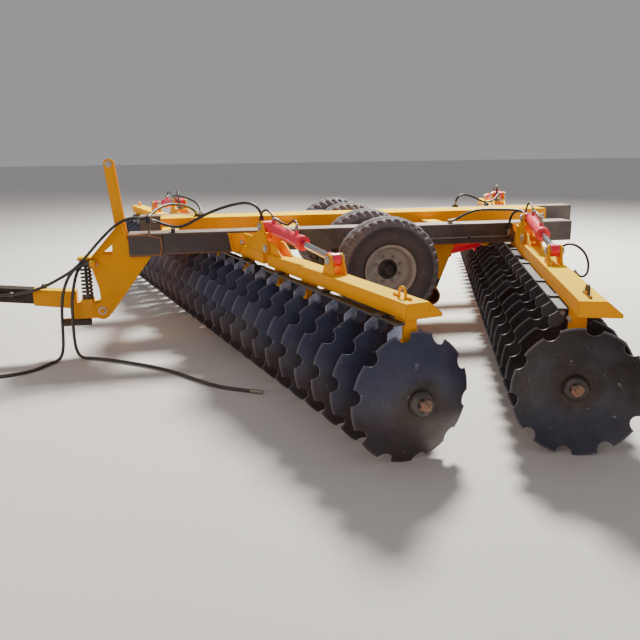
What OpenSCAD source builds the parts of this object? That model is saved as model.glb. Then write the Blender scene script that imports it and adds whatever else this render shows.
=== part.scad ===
// Trailed offset disc harrow with two folding wings on each row of discs, standing on its discs.
// Millimetres. +X is forward, +Y is the machine's left, +Z is up, and the ground is at Z = 0.
// The two rows open like a V seen from above, and the drawbar is on the left rail.

/* [Frame] */
// Distance between the middles of the two side rails
rail_span = 1470; // [1300:10:1600]
// Width of a side rail
rail_w = 200; // [160:5:220]
// Height of a side rail
rail_h = 170; // [140:5:200]
// Height of the rails' top above the ground
rail_top = 970; // [940:5:1020]
// Front end of both rails, from the zero of X
rail_front = 2130; // [2000:10:2300]
// Rear end of the left rail
left_rail_rear = -1660; // [-1900:10:-1560]
// Rear end of the right rail
right_rail_rear = -2480; // [-2700:10:-2200]
// Width of the middle beam
spine_w = 340; // [200:10:360]
// Height of the middle beam
spine_h = 220; // [180:10:240]
// Front end of the middle beam
spine_front = 1900; // [1700:10:2000]
// Rear end of the middle beam
spine_rear = -1760; // [-1900:10:-1620]
// Length of a cross member along X
cross_l = 140; // [80:5:200]
// Height of a cross member
cross_h = 130; // [80:5:150]
// Rear face of the cross members ahead of the wheels, along X
mid_cross_x = 700; // [600:10:800]
// Rear face of the cross members behind the wheels, along X
rear_cross_x = -620; // [-760:10:-600]

/* [Rows of discs] */
// Where the front row's axle crosses the middle line
front_row_x = 1430; // [1350:10:1550]
// Where the rear row's axle crosses the middle line
rear_row_x = -1450; // [-1550:10:-1350]
// Angle of the front row, its left end rearward
front_angle = 15; // [8:0.5:20]
// Angle of the rear row, its left end forward
rear_angle = 18.5; // [10:0.5:22]
// Disc diameter
disc_d = 711; // [610:1:711]
// Disc thickness
disc_t = 7; // [5:0.5:10]
// Depth of the dish at the rim
disc_dish = 90; // [60:1:100]
// Distance between discs along the axle
disc_pitch = 238; // [232:1:260]
// Number of notches in a disc's rim
notch_count = 10; // [6:1:12]
// Radius of a notch
notch_r = 45; // [30:1:48]
// Discs in the middle gang of a row
middle_discs = 12; // [8:2:14]
// Discs in a wing's gang
wing_discs = 9; // [6:1:10]

/* [Gang axles] */
// Diameter of a spool's waist, which turns in the bearings
spool_d = 76; // [60:1:90]
// Diameter of a spool's end flange
spool_flange_d = 124; // [110:1:150]
// Thickness of a spool's end flange
spool_flange_t = 22; // [15:1:25]
// Diameter of the gang bolt through the discs
bolt_d = 42; // [34:1:50]
// Width over the flats of the end nut
nut_af = 68; // [56:1:80]
// Thickness of the end nut
nut_t = 34; // [26:1:40]
// Diameter of a bearing housing
housing_d = 150; // [120:1:160]
// Width of a bearing housing along the axle
housing_w = 90; // [70:1:100]
// Thickness of a stand's plates
stand_t = 12; // [8:1:16]
// Width of a stand along the row
stand_w = 90; // [70:1:100]
// Depth of a stand across the row
stand_depth = 80; // [60:1:90]

/* [Gang beams] */
// Height of the beams' underside above the ground
beam_bottom = 775; // [760:5:790]
// Height of a beam
beam_h = 85; // [60:1:100]
// Width of a beam's top face
beam_top_w = 140; // [120:1:160]
// Width of a beam's bottom face
beam_bottom_w = 220; // [180:1:240]
// Height of the lip along a beam's rear edge
beam_lip = 20; // [12:1:30]
// How far a beam's front face stands ahead of the axle
beam_ahead = 45; // [30:1:60]
// How far a wing beam runs past its last disc where that disc bulges outward
bulge_overhang = -85; // [-100:5:0]
// How far a wing beam runs past its last disc where that disc's hollow faces outward
hollow_overhang = 135; // [90:5:180]

/* [Scrapers] */
// Width of a scraper blade
blade_w = 60; // [40:1:70]
// Thickness of a scraper blade
blade_t = 8; // [5:1:10]
// How far the blades reach below the top of the discs
blade_reach = 56; // [40:2:80]
// How far ahead of the axle the blades reach
blade_out = 140; // [130:5:150]
// Gap between a blade and the rim of its disc
blade_gap = 7; // [6:1:10]
// Width of the bar that holds the blades
bar_w = 50; // [40:1:60]
// Thickness of the bar
bar_t = 12; // [8:1:16]

/* [Wing folding] */
// Height of the fold pins above the ground
hinge_z = 900; // [895:1:915]
// Diameter of the fold and cylinder pins
pin_d = 40; // [30:1:44]
// Radial clearance of a turning pin or shaft
running_gap = 0.05; // [0.01:0.01:0.1]
// How far inboard of the fold pin the cylinder's base pin stands
base_in = 110; // [90:1:150]
// How far above the fold pin the cylinder's base pin stands
base_up = 150; // [140:1:170]
// How far outboard of the fold pin the rod's pin stands
lug_out = 1000; // [900:10:1100]
// Height of the rod's pin above the fold pin
lug_up = 50; // [45:1:60]
// Thickness of the tower plates and lugs
lug_t = 14; // [10:1:16]
// Outer diameter of the cylinder
barrel_d = 90; // [70:1:96]
// Length of the cylinder from its base pin to its gland
barrel_l = 640; // [600:5:660]
// Diameter of the cylinder's rod
rod_d = 44; // [36:1:50]

/* [Wheels] */
// Tyre diameter
tyre_d = 850; // [800:5:860]
// Tyre width
tyre_w = 290; // [250:5:300]
// Rim diameter over its flanges
rim_d = 424; // [400:2:440]
// Distance between the middles of two neighbouring wheels
wheel_pitch = 720; // [700:5:760]
// Wheel centres ahead of the zero of X
wheel_x = 90; // [60:5:120]
// Height of the wheel centres, raised
wheel_z = 655; // [640:5:660]
// Diameter of a wheel pair's through axle
wheel_axle_d = 60; // [50:1:70]
// Rockshaft pipe diameter
shaft_d = 150; // [130:1:160]
// Wall of the rockshaft pipe
shaft_wall = 12; // [8:1:16]
// Rockshaft behind the wheel centres
shaft_back = 450; // [440:5:480]
// Rockshaft below the raised wheel centres
shaft_down = 285; // [270:5:300]
// Distance of the wheel arms from the middle line
arm_y = 790; // [780:5:800]
// Width of a wheel arm
arm_w = 70; // [50:5:80]

/* [Lift cylinder] */
// Radius of the lever on the rockshaft
lever_r = 200; // [190:5:220]
// Lever's angle above straight ahead, wheels raised
lever_angle = 120; // [115:1:125]
// Where the lift cylinder's base pin is along X
lift_base_x = -1200; // [-1215:5:-1180]
// Height of the lift cylinder's base pin
lift_base_z = 700; // [695:1:715]
// Outer diameter of the lift cylinder
lift_barrel_d = 100; // [80:1:110]
// Length of the lift cylinder from its base pin to its gland
lift_barrel_l = 480; // [460:5:520]
// Diameter of the lift cylinder's rod
lift_rod_d = 50; // [40:1:56]

/* [Drawbar] */
// Where the drawbar's pivot is along X
pivot_x = 2371; // [2350:1:2400]
// Height of the drawbar's pivot
pivot_z = 363; // [350:1:380]
// Distance between the drawbar plates' inner faces
plate_gap = 140; // [130:2:150]
// Thickness of a drawbar plate
plate_t = 16; // [12:1:20]
// Width of the drawbar
bar_tube = 124; // [110:2:124]
// Where the hitch pin's hole is along X
hitch_x = 4080; // [3900:10:4200]
// Diameter of the hitch pin's hole
hitch_d = 33; // [26:1:40]
// Rise of the drawbar towards the hitch, in degrees
drawbar_rise = 8; // [6:0.5:9]
// Height of the mast's top above the ground
mast_top = 1510; // [1400:10:1600]
// Width of a mast bar
mast_w = 80; // [60:1:90]

/* [Parking jack] */
// Where the jack stands along X
jack_x = 3500; // [3400:10:3700]
// Outer diameter of the jack's outer tube
jack_d = 76; // [60:1:80]
// Diameter of the jack's leg
jack_leg_d = 57; // [44:1:60]
// Width of the jack's foot
jack_foot = 180; // [140:5:220]

/* [Hoses] */
// Diameter of the hydraulic hoses held on the frame and the drawbar
hose_d = 22; // [16:1:24]
// Diameter of the two loose hoses
loose_hose_d = 24; // [20:1:24]
// Diameter of the hard pipe along the left rail
pipe_d = 16; // [12:1:20]

/* [Hidden] */
$fn = 48;
LEFT = 1;
RIGHT = -1;
yellow = [0.93, 0.63, 0.11];
rail_black = [0.16, 0.14, 0.13];
disc_steel = [0.20, 0.22, 0.27];
red = [0.75, 0.10, 0.14];
rubber = [0.12, 0.12, 0.12];
hose_black = [0.08, 0.08, 0.08];

// One line for each row: where it crosses the middle line, its turn about Z, and which way the discs'
// hollow sides face along the row
ROWS = [
  [front_row_x, front_angle, -1],
  [rear_row_x, -rear_angle, 1]
];
FRONT = 0;
REAR = 1;
function row_x(row) = ROWS[row][0];
function row_turn(row) = ROWS[row][1];
function hollow(row) = ROWS[row][2];
function overhang(row, side) = hollow(row) == side ? hollow_overhang : bulge_overhang;

// A disc's place in its row counts from the middle line, in pitches
first_middle = -(middle_discs - 1) / 2;
first_wing = middle_discs / 2 + 0.5;
last_wing = first_wing + wing_discs - 1;
last_disc = last_wing * disc_pitch;
hinge_s = middle_discs / 2 * disc_pitch;

disc_r = disc_d / 2;
axle_z = disc_r;
beam_top = beam_bottom + beam_h;
rail_bottom = rail_top - rail_h;
spine_bottom = rail_bottom;
rail_y = rail_span / 2;
joint_gap = 5;
beam_end_gap = 60;

// The row's reach gives the middle of the whole machine, which is the origin
reach_left = disc_r * sin(rear_angle) + (last_disc + disc_dish) * cos(rear_angle);
reach_right = disc_r * sin(front_angle) + (last_disc + disc_dish) * cos(front_angle);
reach_back = rear_row_x - disc_r * cos(rear_angle) - (last_disc - disc_dish + disc_t) * sin(rear_angle);
eye_r = 45;
reach_front = hitch_x + eye_r;
mid_x = (reach_front + reach_back) / 2;
mid_y = (reach_left - reach_right) / 2;

module in_machine() {
  translate([-mid_x, -mid_y, 0]) children();
}

// Places children in a row's frame: x across the row, y along it to the left, z up
module in_row(row) {
  in_machine() translate([row_x(row), 0, 0]) rotate([0, 0, row_turn(row)]) children();
}

// Extrudes an outline in x and z along y, from y0 to y1
module along_y(y0, y1) {
  translate([0, y1, 0]) rotate([90, 0, 0]) linear_extrude(y1 - y0) children();
}

// Turns a shape made about z so that it lies along y
module lie_along_y() {
  rotate([-90, 0, 0]) children();
}

// A box between two corners
module block(a, b) {
  translate(a) cube(b - a);
}

// Outline of a strap around two circles, with the points where its straight sides touch them
module strap(a, ra, b, rb) {
  d = b - a;
  turn = atan2(d[1], d[0]);
  lean = acos((ra - rb) / norm(d));
  ends = [[a, ra, lean], [b, rb, lean], [b, rb, -lean], [a, ra, -lean]];
  translate(a) circle(ra);
  translate(b) circle(rb);
  polygon([for (e = ends) e[0] + e[1] * [cos(turn + e[2]), sin(turn + e[2])]]);
}

// Side rails, let down over the middle gang beams

module beam_outline(slack = 0) {
  front = beam_ahead + slack;
  top_back = beam_ahead - beam_top_w - slack;
  bottom_back = beam_ahead - beam_bottom_w - slack;
  polygon([
    [front, beam_bottom], [front, beam_top], [top_back, beam_top],
    [bottom_back, beam_bottom + beam_lip], [bottom_back, beam_bottom]
  ]);
}

module beam_saddles() {
  saddle_gap = 1;
  for (row = [FRONT, REAR])
    translate([row_x(row), 0, 0]) rotate([0, 0, row_turn(row)])
      along_y(-hinge_s, hinge_s) beam_outline(saddle_gap);
}

module rail(rear, y) {
  doubler_l = 260;
  doubler_t = 12;
  difference() {
    union() {
      block([rear, y - rail_w / 2, rail_bottom], [rail_front, y + rail_w / 2, rail_top]);
      side = y > 0 ? y + rail_w / 2 : y - rail_w / 2 - doubler_t;
      block([rail_front - doubler_l, side, rail_bottom - 10], [rail_front, side + doubler_t, rail_top - 8]);
    }
    beam_saddles();
  }
}

module rails() {
  color(rail_black) in_machine() {
    rail(left_rail_rear, rail_y);
    rail(right_rail_rear, -rail_y);
  }
}

module spine() {
  color(yellow) in_machine() {
    difference() {
      block([spine_rear, -spine_w / 2, spine_bottom], [spine_front, spine_w / 2, spine_bottom + spine_h]);
      beam_saddles();
    }
    lift_lugs();
  }
}

// Cross members between the rails and the middle beam: place of each along X
module cross_members() {
  cross_x = [spine_front - cross_l - 20, mid_cross_x, rear_cross_x];
  z0 = rail_bottom + 20;
  color(yellow) in_machine() for (x = cross_x, side = [LEFT, RIGHT]) {
    y_in = side * spine_w / 2;
    y_out = side * (rail_y - rail_w / 2);
    block([x, min(y_in, y_out), z0], [x + cross_l, max(y_in, y_out), z0 + cross_h]);
  }
}

// Gang beams with their stands and bearing housings

// A stand's middle along the row, clear of the rim beside it
stand_clear = 2 * joint_gap + blade_gap + blade_t;
function stand_s(row, gap) =
  let (disc = hollow(row) > 0 ? gap : gap + 1)
  disc * disc_pitch + hollow(row) * (disc_dish + stand_clear + stand_w / 2 - 1);

// A channel hung under the beam, open to the rear, with the bearing housing at its foot
module stand(s) {
  foot = axle_z + housing_d / 2 - 12;
  front = stand_depth / 2;
  translate([0, s, 0]) difference() {
    union() {
      difference() {
        block([-front, -stand_w / 2, foot], [front, stand_w / 2, beam_bottom]);
        block([-front - 1, -stand_w / 2 + stand_t, foot - 1], [front - stand_t, stand_w / 2 - stand_t, beam_bottom - stand_t]);
      }
      translate([0, 0, axle_z]) lie_along_y() cylinder(d = housing_d, h = housing_w, center = true);
      block([-front, -stand_w / 2, axle_z + 25], [front, stand_w / 2, foot + 22]);
    }
    translate([0, 0, axle_z]) lie_along_y() cylinder(d = spool_d + 2 * running_gap, h = housing_w + 2, center = true);
  }
}

// The gaps between discs that hold a stand, counted by the disc on their right
middle_gaps = [first_middle + 1, -1.5, 0.5, -first_middle - 2];
wing_gaps = [first_wing, first_wing + 2, last_wing - 1];

module middle_stands() {
  color(yellow) for (row = [FRONT, REAR], gap = middle_gaps) in_row(row) stand(stand_s(row, gap));
}

module wing_stands(row, side) {
  color(yellow) in_row(row) for (gap = wing_gaps) stand(stand_s(row, side > 0 ? gap : -gap - 1));
}

module front_left_stands() { wing_stands(FRONT, LEFT); }
module front_right_stands() { wing_stands(FRONT, RIGHT); }
module rear_left_stands() { wing_stands(REAR, LEFT); }
module rear_right_stands() { wing_stands(REAR, RIGHT); }

// Outboard lug of the fold cylinder, hinge lugs, and the lifting loop, on a wing beam.
// Local frame here: x across the row, y outboard from the fold pin, z up.
beam_mid = beam_ahead - beam_top_w / 2;
hinge_r = 48;
rod_eye_r = 40;
rod_eye_w = 56;
tower_face = barrel_d / 2 + 10;
hinge_lug_face = tower_face - joint_gap - lug_t;
loop_from_end = 150;

// Draws an outline in the plane of y and z, as a plate from x = x0 of the given thickness
module across(x0, t) {
  translate([x0, 0, 0]) rotate([90, 0, 90]) linear_extrude(t) children();
}

module wing_lugs() {
  top = beam_top - hinge_z;
  for (side = [LEFT, RIGHT]) {
    x_hinge = beam_mid + (side > 0 ? hinge_lug_face : -hinge_lug_face - lug_t);
    difference() {
      across(x_hinge, lug_t) union() {
        circle(hinge_r);
        polygon([[0, hinge_r], [90, hinge_r], [260, top], [beam_end_gap / 2, top], [0, -hinge_r]]);
      }
      translate([beam_mid, 0, 0]) rotate([0, 90, 0])
        cylinder(d = pin_d + 2 * running_gap, h = 2 * tower_face, center = true);
    }
    x_rod = beam_mid + (side > 0 ? rod_eye_w / 2 + joint_gap : -rod_eye_w / 2 - joint_gap - lug_t);
    across(x_rod, lug_t) {
      translate([lug_out, lug_up]) circle(rod_eye_r);
      polygon([[lug_out - 80, top], [lug_out - rod_eye_r, lug_up], [lug_out + rod_eye_r, lug_up], [lug_out + 80, top]]);
    }
    translate([x_rod + lug_t / 2 + side * (lug_t / 2 + 5), lug_out, lug_up]) rotate([0, 90, 0])
      cylinder(d = 52, h = 10, center = true);
  }
}

// A bent rod with its two feet welded along the beam's top
module lifting_loop(y) {
  wire = 14;
  loop_r = 31;
  loop_rise = 25;
  foot_reach = 85;
  top = beam_top - hinge_z;
  translate([beam_mid, y, top]) rotate([90, 0, 90]) {
    translate([0, loop_rise, 0]) rotate_extrude(angle = 180) translate([loop_r, 0]) circle(d = wire);
    for (side = [LEFT, RIGHT]) {
      translate([side * loop_r, 0, 0]) rotate([-90, 0, 0]) cylinder(d = wire, h = loop_rise);
      translate([side * (loop_r - 5), wire / 2 - 1, 0]) rotate([0, side * 90, 0])
        cylinder(d = wire, h = foot_reach - loop_r + 5);
    }
  }
}

module wing_beam(row, side) {
  s_in = hinge_s + beam_end_gap / 2;
  s_out = last_disc + overhang(row, side);
  color(yellow) in_row(row) {
    along_y(side > 0 ? s_in : -s_out, side > 0 ? s_out : -s_in) beam_outline();
    translate([0, side * hinge_s, hinge_z]) mirror([0, side > 0 ? 0 : 1, 0]) {
      wing_lugs();
      lifting_loop(s_out - hinge_s - loop_from_end);
    }
  }
}

// Brackets between a middle beam and the outer faces of the rails, one outline for each row.
// X counts from where the row's axle passes the rail's outer face.
BRACKETS = [
  [[-126, 806], [116, 806], [143, 955], [-126, 955]],
  [[-174, 790], [-46, 776], [64, 907], [78, 962], [-174, 962]]
];
bracket_t = 14;
bracket_lip = 26;

module rail_bracket(row, side) {
  outline = BRACKETS[row];
  face = rail_y + rail_w / 2 + running_gap;
  translate([row_x(row) - side * (rail_y + rail_w / 2) * tan(row_turn(row)), 0, 0]) {
    y0 = side > 0 ? face : -face - bracket_t;
    y1 = side > 0 ? face : -face - bracket_lip;
    along_y(y0, y0 + bracket_t) polygon(outline);
    along_y(y1, y1 + bracket_lip) difference() {
      polygon(outline);
      translate([-bracket_t, bracket_t]) polygon(outline);
    }
  }
}

module middle_beam(row) {
  end = hinge_s - beam_end_gap;
  in_row(row) along_y(-end, end) beam_outline();
}

module middle_beams() {
  color(yellow) for (row = [FRONT, REAR]) {
    middle_beam(row);
    in_machine() for (side = [LEFT, RIGHT]) rail_bracket(row, side);
  }
}

module front_left_beam() { wing_beam(FRONT, LEFT); }
module front_right_beam() { wing_beam(FRONT, RIGHT); }
module rear_left_beam() { wing_beam(REAR, LEFT); }
module rear_right_beam() { wing_beam(REAR, RIGHT); }

// Scrapers: a bar under each beam with a blade beside the hollow face of every disc

function blade_side(row, s) =
  let (near = disc_dish + blade_gap)
  hollow(row) > 0 ? s + near : s - near - blade_t;

// The bar runs just ahead of the stands
bar_back = stand_depth / 2 + joint_gap;
bar_front = bar_back + bar_w;

module scraper_set(row, first, last) {
  bar_top = beam_bottom - bar_t;
  end = 5;
  tab = 60;
  tab_depth = 60;
  tab_s = hollow(row) * disc_dish / 2;
  in_row(row) {
    block(
      [bar_back, blade_side(row, first * disc_pitch) - end, bar_top - bar_t],
      [bar_front, blade_side(row, last * disc_pitch) + blade_t + end, bar_top]
    );
    for (i = [first + 1, floor((first + last) / 2) + 0.5, last - 1])
      translate([0, i * disc_pitch + tab_s, 0])
        block([beam_ahead - tab_depth, -tab / 2, bar_top], [bar_front, tab / 2, beam_bottom]);
    for (i = [first:last]) blade(blade_side(row, i * disc_pitch));
  }
}

// A blade's outline is a short neck under the bar and a wider edge reaching forward
module blade(s) {
  top = beam_bottom - 2 * bar_t;
  low = axle_z + disc_r - blade_reach;
  corner = 15;
  along_y(s, s + blade_t) polygon([
    [bar_back + corner, top], [bar_front - corner / 2, top], [blade_out, low + blade_w], [blade_out, low + corner],
    [blade_out - corner, low], [blade_out - blade_w + corner, low], [bar_back + corner, low + blade_w / 2]
  ]);
}

// The outermost disc has no blade where its hollow faces outward
module wing_scrapers(row, side) {
  last = hollow(row) == side ? last_wing - 1 : last_wing;
  color(disc_steel) if (side > 0) scraper_set(row, first_wing, last);
  else scraper_set(row, -last, -first_wing);
}

module middle_scrapers() {
  color(disc_steel) for (row = [FRONT, REAR]) scraper_set(row, first_middle, -first_middle);
}

module front_left_scrapers() { wing_scrapers(FRONT, LEFT); }
module front_right_scrapers() { wing_scrapers(FRONT, RIGHT); }
module rear_left_scrapers() { wing_scrapers(REAR, LEFT); }
module rear_right_scrapers() { wing_scrapers(REAR, RIGHT); }

// Discs: a notched outline cut out of a spherical shell, with a flat seat for the spools

sphere_r = (disc_r * disc_r + disc_dish * disc_dish) / (2 * disc_dish);
seat_r = spool_flange_d / 2 + 3;
seat_rise = 2;
bolt_gap = 0.3;

module disc_outline() {
  // The first notch is turned so that a tooth is at the very bottom, top, front and back
  notch_turn = 90 / notch_count;
  difference() {
    circle(disc_r, $fn = 96);
    for (i = [0:notch_count - 1])
      rotate(notch_turn + i * 360 / notch_count) translate([disc_r + 3, 0]) circle(notch_r);
    circle(d = bolt_d + 2 * bolt_gap);
  }
}

// The disc's outer, bulging side starts at z = 0 and its hollow side faces +z
module disc() {
  intersection() {
    linear_extrude(disc_dish + 1) disc_outline();
    union() {
      difference() {
        translate([0, 0, sphere_r]) sphere(sphere_r, $fn = 160);
        translate([0, 0, sphere_r + disc_t]) sphere(sphere_r, $fn = 160);
        cylinder(r = seat_r - 1, h = 3 * disc_t, center = true);
      }
      translate([0, 0, seat_rise]) cylinder(r = seat_r, h = disc_t);
    }
  }
}

module disc_set(row, first, last) {
  color(disc_steel) in_row(row) for (i = [first:last])
    translate([0, i * disc_pitch, axle_z]) rotate([hollow(row) > 0 ? -90 : 90, 0, 0]) disc();
}

module front_middle_discs() { disc_set(FRONT, first_middle, -first_middle); }
module rear_middle_discs() { disc_set(REAR, first_middle, -first_middle); }
module front_left_discs() { disc_set(FRONT, first_wing, last_wing); }
module front_right_discs() { disc_set(FRONT, -last_wing, -first_wing); }
module rear_left_discs() { disc_set(REAR, first_wing, last_wing); }
module rear_right_discs() { disc_set(REAR, -last_wing, -first_wing); }

// Gang axles: bolt, spools between the discs, end castings and nuts

washer_t = 24;
flare = 30;

// Outline of one spool from z = 0 to z = l, as radius and height
module spool_outline(l) {
  polygon([
    [0, 0], [spool_flange_d / 2, 0], [spool_flange_d / 2, spool_flange_t], [spool_d / 2, spool_flange_t + flare - 22],
    [spool_d / 2, l - spool_flange_t - flare + 22], [spool_flange_d / 2, l - spool_flange_t], [spool_flange_d / 2, l], [0, l]
  ]);
}

module end_casting() {
  cylinder(d = spool_flange_d, h = washer_t / 2);
  cylinder(d1 = spool_flange_d - 10, d2 = nut_af + 16, h = washer_t);
  translate([0, 0, washer_t]) cylinder(d = nut_af / cos(30), h = nut_t, $fn = 6);
  translate([0, 0, washer_t + nut_t]) cylinder(d = bolt_d - 4, h = 14);
}

module axle_set(row, first, last) {
  count = last - first;
  lo = seat_rise;
  hi = seat_rise + disc_t;
  color([0.25, 0.22, 0.2]) in_row(row)
    translate([0, (hollow(row) > 0 ? first : last) * disc_pitch, axle_z]) rotate([hollow(row) > 0 ? -90 : 90, 0, 0]) {
      translate([0, 0, lo - 1]) cylinder(d = bolt_d, h = count * disc_pitch + disc_t + 2);
      for (i = [0:count - 1])
        translate([0, 0, i * disc_pitch + hi]) rotate_extrude() spool_outline(disc_pitch - disc_t);
      translate([0, 0, lo]) rotate([180, 0, 0]) end_casting();
      translate([0, 0, count * disc_pitch + hi]) end_casting();
    }
}

module front_middle_axle() { axle_set(FRONT, first_middle, -first_middle); }
module rear_middle_axle() { axle_set(REAR, first_middle, -first_middle); }
module front_left_axle() { axle_set(FRONT, first_wing, last_wing); }
module front_right_axle() { axle_set(FRONT, -last_wing, -first_wing); }
module rear_left_axle() { axle_set(REAR, first_wing, last_wing); }
module rear_right_axle() { axle_set(REAR, -last_wing, -first_wing); }

// Fold towers: two plates at each end of a middle beam, with the fold pin and the cylinder's base pin.
// Local frame as for the wing lugs.

// The bar between the plates that the hoses end on, inboard of the cylinder's base pin
tower_pin_r = 44;
hose_bar_in = base_in + 110;
hose_bar_top = rail_top + 16 - hinge_z;
hose_bar_w = 40;

module fold_tower() {
  top = beam_top - hinge_z;
  past_rail = 67;
  back = (rail_y + rail_w / 2) / cos(rear_angle) + past_rail - hinge_s;
  rise = rail_top - 10 - hinge_z;
  for (side = [LEFT, RIGHT])
    across(beam_mid + (side > 0 ? tower_face : -tower_face - lug_t), lug_t) {
      strap([0, 0], tower_pin_r, [-base_in, base_up], 42);
      polygon([
        [back, rise], [back + 50, top], [-beam_end_gap, top], [0, 0], [-base_in, base_up],
        [-base_in - 80, rise + 40], [-base_in - 180, rise]
      ]);
    }
  block([beam_mid - tower_face, back + 70, top], [beam_mid + tower_face, back + 82, rise - 10]);
  block(
    [beam_mid - tower_face, -hose_bar_in - hose_bar_w / 2, hose_bar_top - 40],
    [beam_mid + tower_face, -hose_bar_in + hose_bar_w / 2, hose_bar_top]
  );
  for (pin = [[0, 0], [-base_in, base_up]])
    translate([beam_mid, pin[0], pin[1]]) rotate([0, 90, 0]) {
      cylinder(d = pin_d, h = 2 * (tower_face + lug_t + 14), center = true);
      for (side = [LEFT, RIGHT])
        translate([0, 0, side * (tower_face + lug_t + 5)]) cylinder(d = pin_d + 18, h = 10, center = true);
    }
}

module fold_towers() {
  color(yellow) for (row = [FRONT, REAR], side = [LEFT, RIGHT])
    in_row(row) translate([0, side * hinge_s, hinge_z]) mirror([0, side > 0 ? 0 : 1, 0]) fold_tower();
}

// Hydraulic cylinders. A cylinder is drawn along +x from its base pin, with its pins along y.

gland_l = 60;
bore_gap = 0.5;

module barrel(d, l, rod, eye_w, pin) {
  difference() {
    union() {
      rotate([90, 0, 0]) cylinder(d = pin + 44, h = eye_w, center = true);
      rotate([0, 90, 0]) {
        cylinder(d = d * 0.6, h = 70);
        translate([0, 0, 58]) cylinder(d = d, h = l - 58);
        translate([0, 0, l - gland_l]) cylinder(d = d + 12, h = gland_l);
      }
      for (x = [100, l - gland_l - 60]) translate([x, 0, 0]) cylinder(d = 30, h = d / 2 + 22);
    }
    rotate([90, 0, 0]) cylinder(d = pin + 2 * running_gap, h = eye_w + 2, center = true);
    translate([150, 0, 0]) rotate([0, 90, 0]) cylinder(d = rod + 2 * bore_gap, h = l);
  }
}

module rod(d, from, to, eye_d, eye_w) {
  translate([from, 0, 0]) rotate([0, 90, 0]) cylinder(d = d, h = to - from);
  translate([to - eye_d, 0, 0]) rotate([0, 90, 0]) cylinder(d = d + 18, h = 30);
  translate([to, 0, 0]) rotate([90, 0, 0]) cylinder(d = eye_d, h = eye_w, center = true);
}

// The fold cylinder's frame: x outboard along its own line, y across the row
fold_run = [lug_out + base_in, lug_up - base_up];
fold_length = norm(fold_run);
fold_slope = atan2(fold_run[1], fold_run[0]);

module in_fold_cylinder(row, side) {
  in_row(row) translate([beam_mid, side * (hinge_s - base_in), hinge_z + base_up])
    rotate([0, 0, side > 0 ? 90 : -90]) rotate([0, -fold_slope, 0]) children();
}

module fold_barrel(row, side) {
  color(red) in_fold_cylinder(row, side) barrel(barrel_d, barrel_l, rod_d, 2 * tower_face - 2 * joint_gap, pin_d);
}

module fold_rod(row, side) {
  color("silver") in_fold_cylinder(row, side) rod(rod_d, barrel_l - 130, fold_length, 2 * rod_eye_r, rod_eye_w);
}

module front_left_fold_barrel() { fold_barrel(FRONT, LEFT); }
module front_right_fold_barrel() { fold_barrel(FRONT, RIGHT); }
module rear_left_fold_barrel() { fold_barrel(REAR, LEFT); }
module rear_right_fold_barrel() { fold_barrel(REAR, RIGHT); }
module front_left_fold_rod() { fold_rod(FRONT, LEFT); }
module front_right_fold_rod() { fold_rod(FRONT, RIGHT); }
module rear_left_fold_rod() { fold_rod(REAR, LEFT); }
module rear_right_fold_rod() { fold_rod(REAR, RIGHT); }

// Wheels: a pair on each side, on one axle through the end of a wheel arm

wheel_ys = [wheel_pitch / 2, wheel_pitch * 3 / 2];
tyre_seat_r = rim_d / 2 - 14;

module tyre() {
  w = tyre_w / 2;
  r = tyre_d / 2;
  bead = w - 37;
  lie_along_y() rotate_extrude($fn = 64) polygon([
    [tyre_seat_r, -bead], [tyre_seat_r + 14, -bead - 2], [tyre_seat_r + 60, -w + 8], [tyre_seat_r + 110, -w],
    [r - 50, -w + 8], [r - 14, -w + 26], [r, -w + 60],
    [r, w - 60], [r - 14, w - 26], [r - 50, w - 8],
    [tyre_seat_r + 110, w], [tyre_seat_r + 60, w - 8], [tyre_seat_r + 14, bead + 2], [tyre_seat_r, bead]
  ]);
}

module tyres(side) {
  color(rubber) in_machine() for (y = wheel_ys) translate([wheel_x, side * y, wheel_z]) tyre();
}

// Rim well, wheel disc and hub. The wheel disc sits towards the outer side.
module wheel() {
  w = tyre_w / 2 - 30;
  lie_along_y() {
    rotate_extrude($fn = 64) polygon([
      [tyre_seat_r - 12, -w], [rim_d / 2, -w - 12], [rim_d / 2, -w - 3], [tyre_seat_r - 0.3, -w + 4], [tyre_seat_r - 0.3, w - 4],
      [rim_d / 2, w + 3], [rim_d / 2, w + 12], [tyre_seat_r - 12, w],
      [tyre_seat_r - 12, 40], [90, 28], [60, 28], [60, 20], [90, 18], [tyre_seat_r - 12, 26]
    ]);
    difference() {
      union() {
        translate([0, 0, -60]) cylinder(r = 62, h = 110);
        translate([0, 0, 50]) cylinder(r = 42, h = 34);
      }
      translate([0, 0, -61]) cylinder(d = wheel_axle_d + 2 * running_gap, h = 111);
    }
  }
}

module wheels(side) {
  color([0.62, 0.6, 0.56]) in_machine() translate([wheel_x, 0, wheel_z])
    for (y = wheel_ys) translate([0, side * y, 0]) mirror([0, side * (y - wheel_pitch) > 0 ? 0 : 1, 0]) wheel();
}

module left_tyres() { tyres(LEFT); }
module right_tyres() { tyres(RIGHT); }
module left_wheels() { wheels(LEFT); }
module right_wheels() { wheels(RIGHT); }

// Rockshaft: a pipe across the machine with two wheel arms and the lift lever

shaft_x = wheel_x - shaft_back;
shaft_z = wheel_z - shaft_down;
shaft_half = wheel_ys[1] - tyre_w / 2 - 15;
lever_t = 20;
lift_eye_w = 70;

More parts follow.
